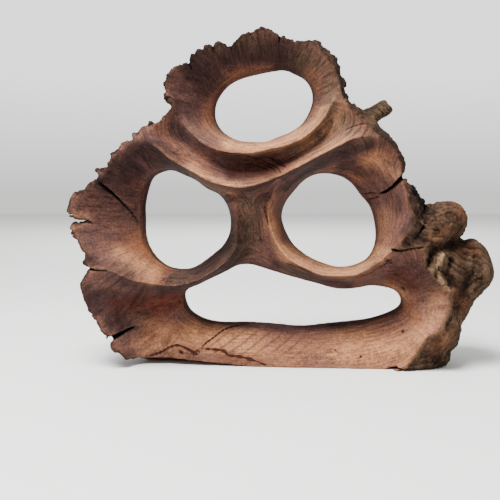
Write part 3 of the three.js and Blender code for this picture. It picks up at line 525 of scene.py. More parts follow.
# Where the weathering shows, and where shade and light are painted: strokes seen from the front
weathering = {
    "patina": [      # dark purple-brown skin on what faces the weather, and painted shadow under the crests, along the hole edges and along the bar's top at the slot
        ([(-62, 206), (-48, 214), (-30, 220), (-6, 220), (10, 215)], 11, 1.1),
        ([(-72, 182), (-64, 184), (-56, 190), (-46, 200)], 8, 0.6), ([(-66, 174), (-58, 174)], 8, 0.5),
        ([(-120, 130), (-110, 140), (-97, 148), (-88, 148)], 12, 0.95),
        ([(-106, 124), (-102, 136)], 7, 0.4), ([(-134, 114), (-118, 112), (-106, 110)], 9, 0.4),
        ([(-126, 98), (-116, 92)], 9, 0.35), ([(-139, 84), (-133, 74)], 6, 0.5),
        ([(-88, 152), (-78, 146), (-68, 140)], 6, 0.7),
        ([(-134, 56), (-114, 52), (-92, 49), (-80, 50)], 9, 0.65),
        ([(-130, 44), (-116, 36), (-98, 38)], 10, 0.75), ([(-118, 28), (-104, 25)], 8, 0.45),
        ([(-74, 167), (-66, 160)], 7, 0.45), ([(-40, 147), (-20, 145), (0, 148)], 5, 0.25),
        ([(-66, 162), (-56, 152)], 6, 0.4), ([(-28, 80), (-44, 68)], 6, 0.4),
        ([(-52, 140), (-38, 135)], 6, 0.3), ([(-34, 133), (-22, 131.5), (-8, 135)], 4.5, 0.75),
        ([(-8, 135), (10, 144), (24, 152)], 4.5, 0.6), ([(-130, 77), (-114, 71), (-102, 66)], 3.5, 0.6),
        ([(-60, 65), (-50, 70), (-40, 77), (-34, 86)], 5, 1), ([(-77, 199), (-72, 193)], 6, 0.45),
        ([(44, 149), (54, 146), (62, 155), (73, 157)], 6, 0.6), ([(46, 139), (62, 136)], 6, 0.5),
        ([(80, 150), (83, 141)], 4, 0.4), ([(76, 124), (81, 112)], 6, 0.6),
        ([(78, 66), (92, 73), (101, 67)], 8, 0.6), ([(92, 60), (104, 54)], 8, 0.4),
        ([(-24, 100), (-22, 90), (-28, 80)], 6, 0.75), ([(-14, 114), (-17, 104)], 5, 0.35),
        ([(-72, 60), (-54, 65), (-42, 74), (-33, 84)], 9, 1),
        ([(-4, 72), (12, 66), (30, 60), (50, 57)], 5, 0.8), ([(12, 134), (24, 140), (40, 141)], 5, 0.4),
        ([(-56, 31), (-24, 27), (10, 24), (44, 27), (72, 33), (86, 42)], 4, 0.75),
        ([(-92, 130), (-96, 118), (-98, 100)], 4, 0.5), ([(-66, 134), (-46, 121), (-38, 118)], 3, 0.7),
        ([(-36, 118.5), (-22, 117.5), (-9, 121), (4, 127)], 3.5, 0.9),
        ([(6, 129), (24, 141), (44, 151), (60, 155)], 3, 0.6),
        ([(-124, 66), (-108, 61), (-92, 57), (-76, 55)], 4, 0.4),
        ([(-40, 148), (-21, 145), (-4, 148)], 3, 0.3)],
    "blots": [      # dark blots where the grain is open
        ([(-30, 104), (-24, 92), (-16, 90)], 8, 0.7), ([(-82, 62), (-62, 59)], 5, 1.1),
        ([(-101, 56), (-97, 42)], 5, 0.5), ([(68, 76), (80, 69)], 6, 0.8),
        ([(-74, 150), (-66, 146)], 6, 0.6), ([(-28, 118), (-14, 114)], 5, 0.6),
        ([(10, 7), (52, 6), (80, 9)], 5, 0.5), ([(-60, 66), (-44, 72)], 5, 0.6),
        ([(-138, 112), (-118, 118)], 10, 0.4), ([(80, 60), (92, 58)], 5, 0.6),
        ([(-92, 8), (-60, 8)], 4, 0.6)],
    "glow": [      # orange-tan: freshly worn wood, and painted highlight on the up-facing lower fan and painted reflection inside the top hole's rim
        ([(-44, 196), (-30, 208), (-8, 213), (10, 211)], 5, 0.45), ([(-52, 184), (-52, 172)], 5, 0.4),
        ([(-104, 86), (-94, 78), (-84, 66)], 10, 0.75), ([(-78, 162), (-66, 150), (-52, 137)], 6, 0.5),
        ([(-98, 54), (-84, 53), (-74, 50)], 6, 0.5), ([(-90, 22), (-60, 19), (-34, 13), (10, 11)], 10, 0.4),
        ([(24, 12), (50, 13)], 6, 0.4), ([(60, 144), (68, 150)], 6, 0.3),
        ([(8, 138), (26, 141), (44, 140), (56, 133)], 4, 0.5), ([(46, 12), (70, 13)], 8, 0.3),
        ([(90, 46), (84, 56)], 6, 0.2), ([(60, 12), (84, 16)], 10, 0.5), ([(-8, 112), (-10, 100)], 5, 0.4),
        ([(92, 38), (98, 32)], 6, 0.4)],
    "rust": [      # dark red: partly a stain, partly painted shade in the deep ends, in the trough under the top hole's ring, under the middle crest and below the crest round the left hole
        ([(-30, 140), (-14, 138.5), (0, 142)], 8, 0.7), ([(-92, 40), (-74, 46)], 9, 1.35),
        ([(80, 68), (88, 66)], 5, 0.4), ([(-40, 6), (-18, 2)], 5, 0.6), ([(-92, 4), (-60, 2)], 4, 0.45),
        ([(92, 58), (80, 62)], 6, 0.7), ([(-112, 44), (-96, 46)], 8, 0.8),
        ([(-104, 130), (-96, 118)], 6, 0.35), ([(-34, 119), (-8, 120)], 3, 0.5),
        ([(-68, 58), (-56, 62)], 3, 0.4), ([(8, 70), (26, 64)], 3, 0.3)],
    "grey": [      # grey-brown, half bark
        ([(-24, 118), (-22, 100), (-24, 84)], 9, 0.8),
        ([(-34, 88), (-44, 71), (-56, 62), (-72, 58)], 6, 0.3), ([(-74, 61), (-62, 60)], 5, 0.4),
        ([(-106, 72), (-96, 68)], 6, 0.4), ([(16, 215), (30, 203), (37, 188), (34, 174)], 9, 0.9),
        ([(-46, 222), (-16, 228)], 8, 0.4), ([(44, 166), (62, 163)], 8, 0.75),
        ([(-62, 166), (-58, 162)], 4, 0.5), ([(8, 70), (24, 65)], 7, 0.4), ([(62, 74), (70, 80)], 5, 0.3),
        ([(-102, 36), (-94, 32)], 6, 0.35), ([(8, 153), (24, 161), (36, 170)], 7, 0.85)],
    "bare": [      # a broken pale piece in the bark, and the branch
        ([(107, 81), (104, 74), (100, 69)], 1.5, 0.3),
        ([(109, 81), (105.5, 72), (107.5, 64), (112, 57)], 1.7, 0.85), ([(111, 59), (114, 55)], 2, 1),
        ([(58, 170), (72, 181)], 4, 0.35), ([(88, 130), (93, 124)], 3, 0.3)],
    "ruddy": [      # red-brown bark
        ([(122, 112), (128, 105)], 5, 0.7), ([(86, 131), (90, 127)], 4, 0.4),
        ([(104, 92), (112, 98)], 5, 0.4), ([(118, 56), (126, 42)], 5, 0.4),
        ([(104, 14), (112, 22)], 6, 0.5), ([(122, 84), (134, 82)], 4, 0.4)],
    "black": [      # a charred clump beside the upper burl, and painted shade in the deep gaps
        ([(92, 124), (97, 119), (100, 112)], 4, 1.6), ([(88, 104), (82, 95)], 3, 0.6),
        ([(104, 96), (112, 95)], 3, 0.3), ([(116, 88), (128, 88)], 3, 0.5), ([(98, 14), (110, 5)], 6, 0.4),
        ([(120, 66), (122, 56)], 4, 0.4)],
    "pale": [      # rubbed pink-tan wood
        ([(-52, 168), (-38, 158)], 5, 0.3), ([(-36, 156), (-20, 153), (-2, 156), (13, 163)], 5, 1),
        ([(13, 163), (24, 172), (29, 180)], 4, 0.7), ([(-64, 138), (-48, 129), (-32, 126)], 5, 0.6),
        ([(-34, 130), (-22, 129), (-8, 132), (10, 141)], 3, 0.2),
        ([(10, 141), (26, 150), (42, 158)], 3, 0.45), ([(-5, 100), (-3, 88), (4, 80)], 3.5, 0.7),
        ([(2, 80), (14, 73), (30, 69), (46, 68), (60, 74), (69, 82)], 4.5, 0.95),
        ([(72, 92), (73, 108)], 5, 0.3), ([(70, 142), (78, 136)], 5, 0.4),
        ([(58, 146), (66, 146)], 6, 0.45), ([(-30, 17), (-62, 22)], 6, 0.3),
        ([(108, 50), (106, 36), (96, 24)], 7, 0.5), ([(86, 12), (62, 13), (46, 12)], 12, 0.65),
        ([(40, 11), (20, 8), (-4, 8)], 10, 0.3), ([(-20, 14), (-40, 16), (-62, 20)], 9, 0.7),
        ([(80, 54), (86, 48)], 6, 0.65), ([(-94, 30), (-84, 26)], 6, 0.3), ([(-9, 108), (-8, 100)], 4, 0.3),
        ([(14, 155), (32, 166), (40, 178)], 6, 0.6), ([(6, 82), (20, 76)], 4, 0.5),
        ([(-114, 82), (-101, 73), (-88, 66)], 4, 0.5), ([(-76, 15), (-96, 14)], 8, 0.45),
        ([(18, 206), (26, 196)], 5, 0.25), ([(-140, 107), (-134, 104)], 4, 0.3)],
    "diagonal": [      # growth rings that cross the bar aslant
        ([(-44, 13), (-14, 17), (6, 18)], 10, 1), ([(16, 10), (40, 12)], 9, 0.5)],
}
# Fibres, strands and lines on the skin, in millimetres; a span goes from none to all of something
surface = {
    "smoothing": (2, 0.12, 0.14),            # rounds, share everywhere, and more of it on carved wood
    "carvedUnder": (0, -2.2),                # span of the bark's field over which wood turns carved
    "holePull": ((0.4,), (1,), (1,), (1,)),  # the top hole's dish reaches furthest
    "lengthening": 0.09,                     # a fibre is about eleven times as long as it is wide
    "ripple": 3.6, "rippleHeight": 0.35,
    # Fibres run straight up on the post, out from the holes on the fans and the crown, else round the holes
    "postX": -18, "postAside": (17, 13), "postAbove": (78, 88), "postBelow": (124, 116),
    "raysAboveTop": (172, 184), "raysLeft": (-88, -96), "raysAtSlot": ((-70, -78), (88, 96)),
    "raysPastLip": (4, 10),
    "lie": (0.1, 0.4, 0.1),                  # how fast bark strands change along x, y and z
    "strands": ((5, 0.1, 1), (2.2, 0.12, 0.55)),                 # spacing, how sharp, how deep
    "crumbs": ((2.4, 1.3, -1), (4.5, 1.6, -0.2)), "crumbsMoved": 31,      # spacing, height, lowest
    "stringy": (0.15, 1), "stringyBelow": (96, 82),              # the burl's upper lobe is crumbly instead
    "strandHeight": 0.9, "crumbHeight": (0.9, 0.3),
    "branchRelief": 0.35, "branchFrom": (52, 58), "branchAbove": (160, 166),
    "lineReach": 3, "lineDepth": 0.6, "lineEdge": (-0.7, 0.1), "lineTaper": 5, "lineThinning": 0.8,
    "lineWander": (0.75, 0.35), "lineWaves": (1.3, 2.1),         # width, its usual and wandering share
    "linesOnCarved": 0.2, "linesFacing": 0.2,                    # least carved, and most turned sideways
    "crestReach": 14, "crestTaper": 6, "crestsOnCarved": 0.1, "crestsFacing": 0.4,
    "crestFades": (6, 3.5),                  # how far the tones past a crest and on it reach
    "postEdge": (76, 118, 0.35),             # the post's edges are worn round, from z to z
    "fineRounds": 12, "broadRounds": 60,     # smoothing that fine and broad hollows are measured against
    "frontFrom": (12, 2), "burlFrom": (82, 96), "blackBefore": (-6, -14), "lipWidth": 20,
    "crackLimit": 3,
}
nowhere = 9.0                  # mm off a line, past anything that is drawn beside it


def sampled(field, at):          # value of a grid field at the nearest node
    node = [np.clip(np.rint((at[:, k] - axis[0]) / cell).astype(int), 0, len(axis) - 1)
            for k, axis in ((2, gridZ), (0, gridX), (1, gridY))]
    return field[tuple(node)] if field.ndim == 3 else field[node[0], node[1]]


def ribbon(path, taper):
    # Points of a curve, the direction to its side, and how near the full strength it is at each
    line = smoothCurve(path)[:, (0, 2)]
    run = np.gradient(line, axis=0)
    run /= np.linalg.norm(run, axis=1)[:, None]
    n = np.arange(len(line))
    full = np.minimum(1, taper * np.minimum(n, n[::-1]) / len(line))
    return *line.T, -run[:, 1], run[:, 0], full


def hairlineRows():
    rows = []
    for path, half in hairlines:
        x, z, sideX, sideZ, full = ribbon(path, surface["lineTaper"])
        usual, wander = surface["lineWander"]
        waveX, waveZ = surface["lineWaves"]
        width = half * (usual + wander * np.sin(x * waveX + z * waveZ))
        width -= (1 - full) * surface["lineThinning"]
        rows.append(np.stack([x, z, sideX, sideZ, width], 1))
    return np.concatenate(rows)


def crestRows():
    # Along each ridge the hole that it goes round is on the left hand
    rows = []
    for name, (past, on) in crestTones.items():
        x, z, sideX, sideZ, full = ribbon(ridges[name], surface["crestTaper"])
        low, high, left = surface["postEdge"]
        full = full * np.where((z > low) & (z < high), left, 1)
        rows.append(np.stack([x, z, sideX, sideZ, past * full, on * full], 1))
    return np.concatenate(rows)


def nearestSpot(spots, at):
    # Which spot is nearest to each place and how far it is, seen from the front
    tree = kdtree.KDTree(len(spots))
    for n, (x, z) in enumerate(spots.tolist()):
        tree.insert((x, 0, z), n)
    tree.balance()
    found = np.array([tree.find((x, 0, z))[1:] for x, z in at[:, (0, 2)].tolist()])
    return found[:, 0].astype(int), found[:, 1]


def besideRows(rows, points, where, reach):
    # Which of the points in where are within reach of a row; its values, how far and how much aside it is
    where = np.flatnonzero(where)
    spot, far = nearestSpot(rows[:, :2], points[where])
    close = far < reach
    where, row = where[close], rows[spot[close]]
    side = ((points[where][:, (0, 2)] - row[:, :2]) * row[:, 2:4]).sum(1)
    return where, row[:, 4:].T, far[close], side


def strokeMask(name, x, z):
    total = np.zeros(len(x))
    for path, reach, strength in weathering[name]:
        nearest = np.full(len(x), 1e9)
        for (x0, z0), (x1, z1) in zip(path, path[1:]):
            runX, runZ = x1 - x0, z1 - z0
            t = clamp01(((x - x0) * runX + (z - z0) * runZ) / (runX ** 2 + runZ ** 2))
            nearest = np.minimum(nearest, (x - mix(x0, x1, t)) ** 2 + (z - mix(z0, z1, t)) ** 2)
        total += strength * np.exp(-nearest / reach ** 2)
    return clamp01(total)


def fibreSpace(at):
    # Places along and out from the nearest hole edge, so that fibres can run with the wood
    nearest = np.argmin(np.stack([np.maximum(sampled(h, at), 0) for h in holeMaps]) * surface["holePull"], 0)
    lipPoint, reach = np.zeros((len(at), 2)), np.zeros(len(at))
    for n, hole in enumerate(holes):
        lip = smoothCurve(hole, True)[:, (0, 2)]
        spot, reach[nearest == n] = nearestSpot(lip, at[nearest == n])
        lipPoint[nearest == n] = lip[spot]
    return lipPoint, reach, nearest


def dressed(points):
    count = len(points)
    edges = np.concatenate([quads[:, [k, (k + 1) % 4]] for k in range(4)])
    carved = rise(sampled(bark, points), *surface["carvedUnder"])
    rounds, everywhere, onCarved = surface["smoothing"]
    for _ in range(rounds):
        points = points + (averaged(points, edges) - points) * (everywhere + onCarved * carved)[:, None]
    normals = normalsOf(points, quads)
    x, y, z = points.T
    lipPoint, reach, nearest = fibreSpace(points)
    along = np.hypot(reach, y - logShape["holeDepth"])
    fromPost = x - surface["postX"]
    onPost = (rise(np.abs(fromPost), *surface["postAside"]) * rise(z, *surface["postAbove"])
              * rise(z, *surface["postBelow"]))
    long = surface["lengthening"]
    rays = np.column_stack([lipPoint, along * long])
    rings = np.column_stack([lipPoint * long, along + onPost * fromPost])
    radial = np.select([nearest == 0, nearest == 1, nearest == 3], [
        rise(z, *surface["raysAboveTop"]), rise(x, *surface["raysLeft"]),
        np.maximum(*(rise(x, *span) for span in surface["raysAtSlot"]))], 0)
    radial = radial * rise(along, *surface["raysPastLip"])
    width = surface["ripple"]
    ripple = np.array([mix(noise.noise(Vector(around) / width), noise.noise(Vector(out) / width), share)
                       for around, out, share in zip(rings, rays, radial.tolist())])
    # Bark fibres lie along the outline, and crumbs anywhere
    alongX, alongY, alongZ = surface["lie"]
    lie = np.column_stack([sampled(outline, points), alongX * x + alongY * y, alongZ * z])
    stringy = mix(*surface["stringy"], rise(z, *surface["stringyBelow"]))
    furrow, crumbs = 0, 0
    for gap, sharp, deep in surface["strands"]:
        strand = np.array([noise.noise(Vector(p) / gap) for p in lie])
        furrow = furrow + deep * np.exp(-(strand / sharp) ** 2)
    for gap, high, lowest in surface["crumbs"]:
        crumb = np.array([noise.noise(Vector(p) / gap) for p in points + surface["crumbsMoved"]])
        crumbs = crumbs + high * np.maximum(crumb, lowest)
    relief = surface["strandHeight"] * stringy * (0.5 - furrow)
    relief = relief + mix(*surface["crumbHeight"], stringy) * crumbs
    onBranch = rise(x, *surface["branchFrom"]) * rise(z, *surface["branchAbove"])
    relief = relief * mix(1, surface["branchRelief"], onBranch)
    points = points + normals * (surface["rippleHeight"] * ripple * carved + relief * (1 - carved))[:, None]
    # Hairlines: how far each point lies to the side of the nearest one, and how wide that one is
    frontSide = normals[:, 1] < surface["linesFacing"]
    side, away, half = np.full(count, nowhere), np.full(count, nowhere), np.zeros(count)
    on, (lineHalf,), far, offLine = besideRows(
        hairlineRows(), points, frontSide & (carved > surface["linesOnCarved"]), surface["lineReach"])
    side[on], away[on], half[on] = offLine, far, lineHalf
    points = points - normals * (surface["lineDepth"] * rise(half - away, *surface["lineEdge"]))[:, None]
    # Crests: which side of the nearest one each point lies on, and how much painted shadow past it and paler
    # crest it gets
    crestSide, pastCrest, onCrest = np.full(count, nowhere), np.zeros(count), np.zeros(count)
    facing = normals[:, 1] < surface["crestsFacing"]
    on, (past, crest), far, offLine = besideRows(
        crestRows(), points, facing & (carved > surface["crestsOnCarved"]), surface["crestReach"])
    crestSide[on] = offLine
    pastCrest[on], onCrest[on] = (tone * np.exp(-(far / fade) ** 2)
                                  for tone, fade in zip((past, crest), surface["crestFades"]))
    # Hollow and crest masks from how far a smoothed copy lies off the skin
    smooth, offSkin = points, []
    for rounds in (surface["fineRounds"], surface["broadRounds"]):
        for _ in range(rounds):
            smooth = averaged(smooth, edges)
        offSkin.append(((points - smooth) * normals).sum(1))
    normals = normalsOf(points, quads)
    front = rise(points[:, 1], *surface["frontFrom"])
    lipWidth, limit = surface["lipWidth"], surface["crackLimit"]
    crackIn = np.clip(sampled(inCrack, points), -limit, limit) - limit * ~frontSide
    masks = {"carved": carved, "crackIn": crackIn,
             "crest": offSkin[0], "swell": offSkin[1], "lineSide": side, "lineAway": away, "lineHalf": half,
             "lipAway": mix(lipWidth, np.minimum(along, lipWidth), front), "radial": radial,
             "burl": rise(x, *surface["burlFrom"]),
             "crestSide": crestSide, "pastCrest": pastCrest, "onCrest": onCrest}
    for name in weathering:
        masks[name] = strokeMask(name, x, z) * front
    masks["black"] *= rise(points[:, 1], *surface["blackBefore"])
    masks["rim"] = front * (1 - masks["burl"])
    # The skin stays within the solids' own size
    points = np.clip(points, np.array(solidBox[0]) / mm, np.array(solidBox[1]) / mm)
    return points, normals, masks, {"rays": rays, "rings": rings, "lie": lie}


points, normals, masks, fibres = dressed(roughPoints)
print("weathering masks made")

# The forks, [x, z] to [x, z], where the limbs meet
forks = {
    "crownLeft": ((-80, 130), (-88, 184)), "crownRight": ((44, 120), (88, 170)),
    "postHead": ((-44, 116), (10, 116)), "leftStrut": ((-74, 74), (-66, 48)),
    "rightStrut": ((58, 86), (82, 46)), "baseLeft": ((-145, 46), (-60, 46)),
    "baseRight": ((80, 46), (165, 46)), "branchFoot": ((58, 192), (72, 167)),
}
# Straight bounds of the limbs, and how many cells beside a fork the skin is moved onto it
bounds = {"crownAbove": 116, "baseBelow": 46, "stubAbove": 160, "stubRightOf": 52, "snap": 0.5}


def beside(fork, x, z):
    # Distance to the right of a fork's line, seen along it, and how far along its own stretch
    (x0, z0), (x1, z1) = forks[fork]
    length = math.hypot(x1 - x0, z1 - z0)
    ux, uz = (x1 - x0) / length, (z1 - z0) / length
    return (x - x0) * uz - (z - z0) * ux, ((x - x0) * ux + (z - z0) * uz) / length


def limbOf(x, z):
    rightOf = {fork: beside(fork, x, z)[0] > 0 for fork in forks}
    high = z > bounds["crownAbove"]
    crown = high & rightOf["crownLeft"] & ~rightOf["crownRight"]
    centre = ~high & ~rightOf["leftStrut"] & rightOf["rightStrut"]
    stub = ~rightOf["branchFoot"] & (z > bounds["stubAbove"]) & (x > bounds["stubRightOf"])
    limb = np.where(x < 0, "left_limb", "right_limb")
    limb = np.where(crown, "crown_limb", np.where(centre, "centre_limb", limb))
    limb = np.where(z < bounds["baseBelow"], "base_limb", limb)
    return np.where(stub, "branch_stub", limb)


def snapToForks():
    for fork, ((x0, z0), (x1, z1)) in forks.items():
        length = math.hypot(x1 - x0, z1 - z0)
        off, along = beside(fork, points[:, 0], points[:, 2])
        near = (np.abs(off) < bounds["snap"] * cell) & (along > 0) & (along < 1)
        points[near, 0] -= off[near] * (z1 - z0) / length
        points[near, 2] += off[near] * (x1 - x0) / length


def limbPiece(name, faces):
    used, renumbered = np.unique(faces, return_inverse=True)
    mesh = bpy.data.meshes.new(name)
    mesh.from_pydata((points[used] * mm).tolist(), [], renumbered.reshape(-1, 4).tolist())
    # The cut ends are closed, so that each limb is a whole body
    bm = bmesh.new()
    bm.from_mesh(mesh)
    caps = bmesh.ops.holes_fill(bm, edges=[e for e in bm.edges if e.is_boundary], sides=0)["faces"]
    bmesh.ops.triangulate(bm, faces=caps)
    bm.to_mesh(mesh)
    bm.free()
    mesh.shade_smooth()
    mesh.normals_split_custom_set_from_vertices(normals[used].tolist())
    for layers, kind, key in ((masks, "FLOAT", "value"), (fibres, "FLOAT_VECTOR", "vector")):
        for layerName, values in layers.items():
            layer = mesh.attributes.new(layerName, kind, "POINT")
            layer.data.foreach_set(key, values[used].astype(np.float32).ravel())
    piece = bpy.data.objects.new(name, mesh)
    bpy.context.scene.collection.objects.link(piece)
    return piece


def toLinear(colour):
    parts = [int(colour[k:k + 2], 16) / 255 for k in (1, 3, 5)]
    return [c / 12.92 if c <= 0.04045 else ((c + 0.055) / 1.055) ** 2.4 for c in parts] + [1]


def addNode(tree, kind, *values, links=None, stops=(), out=0, **settings):
    # Adds a node with its settings; values go to its first sockets, links to named or numbered ones
    node = tree.nodes.new("ShaderNode" + kind)
    for key, value in settings.items():
        setattr(node, key, value)
    for key, value in [*enumerate(values), *(links or {}).items()]:
        if isinstance(value, bpy.types.NodeSocket):
            tree.links.new(value, node.inputs[key])
        else:
            node.inputs[key].default_value = value
    for n, (place, colour) in enumerate(stops):
        if n >= len(node.color_ramp.elements):
            node.color_ramp.elements.new(1)
        node.color_ramp.elements[n].position = place
        colour = toLinear(colour) if isinstance(colour, str) else [colour] * 3 + [1]
        node.color_ramp.elements[n].color = colour
    return node.outputs[out] if node.outputs else node


# Root wood, weathered outdoors and then sandblasted: open fibres, matt, purple-brown where the
# old skin is left and tan to orange where it is worn through; torn bark on the outside.
# A wash is a colour, its strength, and the masks or patterns that it lies on, each from its 0 to its 1.
# Some washes paint light and shade into the colour: painted shadow past and under the crests and in the deep
# ends, painted shade at the hole edges and in bark gaps, and painted highlight and reflection in the glow and
# on the crests.
rootWood = {
    "worn": "#624136", "glow": "#8a573a", "pale": "#b47e58", "patina": "#432c27", "deepPatina": "#261818",
    "violet": "#503937", "rust": "#3f1608", "grey": "#574434", "dirt": "#2e1c16",
    "split": "#0f0807", "hairline": "#2a100c",
    "barkDark": "#0a0604", "barkBrown": "#291b12", "barkOlive": "#3b2b1e", "barkPale": "#634d38",
    "barkRed": "#6a3a20", "barkEdge": "#1f140f", "bare": "#957a5a",
    # Patterns: where they lie, width in mm, detail, roughness and distortion. Real fibres and sand marks
    # are finer and would not show. Fibres run round the holes, and out from them where they are radial.
    "patterns": {
        "cloud": ("body", 24, 4, 0.6, 0.5), "patch": ("shifted", 13, 4, 0.6, 0.8),
        "mottle": ("body", 5, 4, 0.65, 0), "blot": ("body", 3.2, 4, 0.7, 0.8),
        "speckle": ("body", 1.5, 2, 0.7, 0), "barkCrumb": ("body", 1.6, 5, 0.8, 0),
        "barkStrand": ("lie", 1.3, 4, 0.7, 0.6), "fine": ("rings", "rays", 1.2, 3, 0.6, 0.4),
        "broad": ("rings", "rays", 4.5, 3, 0.6, 1.2), "fleck": ("rings", "rays", 0.7, 1, 0.6, 2.5)},
    "ringSpacing": 5.5, "ringLean": 56, "ringWander": 4,       # mm, degrees, mm
    # How much old skin is left, with the painted shadow in the patina strokes, as a sum of masks and patterns
    "oldSkin": {"patina": 1, "cloud": 1.1, "broad": 0.6, "fine": 0.5, "mottle": 0.6, "pale": -0.35},
    "oldSkinBase": -1.4,
    "wornWashes": [
        ("violet", 1, ("patch", 0.42, 0.66)), ("glow", 1, ("glow", 0, 1)), ("pale", 1, ("rubbed", 0, 1)),
        ("patina", 1, ("oldSkin", 0.05, 0.75)), ("deepPatina", 1, ("oldSkin", 0.6, 1.1)),
        ("rust", 1, ("rust", 0, 1), ("mottle", 0.15, 0.65)), ("grey", 1, ("grey", 0, 1), ("patch", 0.2, 0.7)),
        # darker in the broad hollows
        ("dirt", 0.25, ("swell", -0.5, -3.5)),
        # Just past a crest the wood is darkened as painted shadow; the crest is paler, partly rubbed and
        # partly a painted highlight, and hole edges are darkened as painted shade
        ("deepPatina", 1, ("pastCrest", 0, 1), ("crestSide", 0.3, -0.5)),
        ("pale", 1, ("onCrest", 0, 1), ("crestSide", -0.3, 0.4)),
        # painted shade on the flared wall at each hole edge, darkest within about 2 mm of it
        ("deepPatina", 0.6, ("lipAway", 5, 2)),
        ("deepPatina", 0.9, ("blots", 0, 1), ("blot", 0.47, 0.58))],
    # Rubbed pale are strokes with the mottle over them, and a little whatever stands proud
    "paleMottle": (0.1, 0.6), "proudFrom": (0.4, 2.6), "rubbed": {"paleMottled": 1, "proud": 0.2},
    # A hairline's dark fades over this much past its half width, and at the ends of its reach, in mm
    "lineWider": 0.2, "lineSoft": (0, 0.35), "lineEnd": (1.4, 0.9),
    # Streaks along the fibres show where the grain is open; sand and age leave a fine speckle
    "tones": {"fine": ((0.32, 0.42), (0.5, 1), (0.68, 1.45)),
              "speckle": ((0.34, 0.55), (0.5, 1), (0.66, 1.4))},
    "openGrain": {"patina": 0.5, "grey": 0.5}, "openGrainBase": 0.65, "speckleShare": 0.7,
    # Short dark flecks, and growth rings that cross the bar aslant
    "lateWashes": [("deepPatina", 0.45, ("fleck", 0.62, 0.72), ("openGrain", 0, 1)),
                   ("patina", 0.6, ("rings", 0.35, 1), ("diagonal", 0, 1))],
    # Bark: dark furrows, brown plates, olive and pale crowns
    "barkGrain": {"barkStrand": 0.7, "barkCrumb": 0.3},
    "barkStops": ((0.37, "barkDark"), (0.46, "barkBrown"), (0.53, "barkOlive"), (0.63, "barkPale")),
    "barkWashes": [
        ("barkBrown", 0.6, ("patch", 0.4, 0.7)), ("barkRed", 1, ("ruddy", 0, 1), ("barkGrain", 0.35, 0.6)),
        ("barkEdge", 0.75, ("rim", 0, 1)), ("barkDark", 0.85, ("crest", -0.1, -0.9)),
        ("barkPale", 0.35, ("crest", 0.1, 0.7), ("burl", 0, 1)),
        ("bare", 1, ("bare", 0, 1), ("barkGrain", 0.4, 0.56))],
    "lastWashes": [("barkDark", 1, ("black", 0, 1)), ("hairline", 0.9, ("inLine", 0, 1)),
                   ("split", 1, ("crackIn", -0.6, 0.1))],
    "roughness": 0.86, "roughnessSpread": 0.16, "specular": 0.12, "ior": 1.5,
    "bumpHeight": 0.9, "bumpStrength": 0.8,      # mm
    "barkHeight": {"barkGrain": 2.6}, "carvedHeight": {"fine": 0.8, "mottle": 0.5, "inLine": -0.8},
}


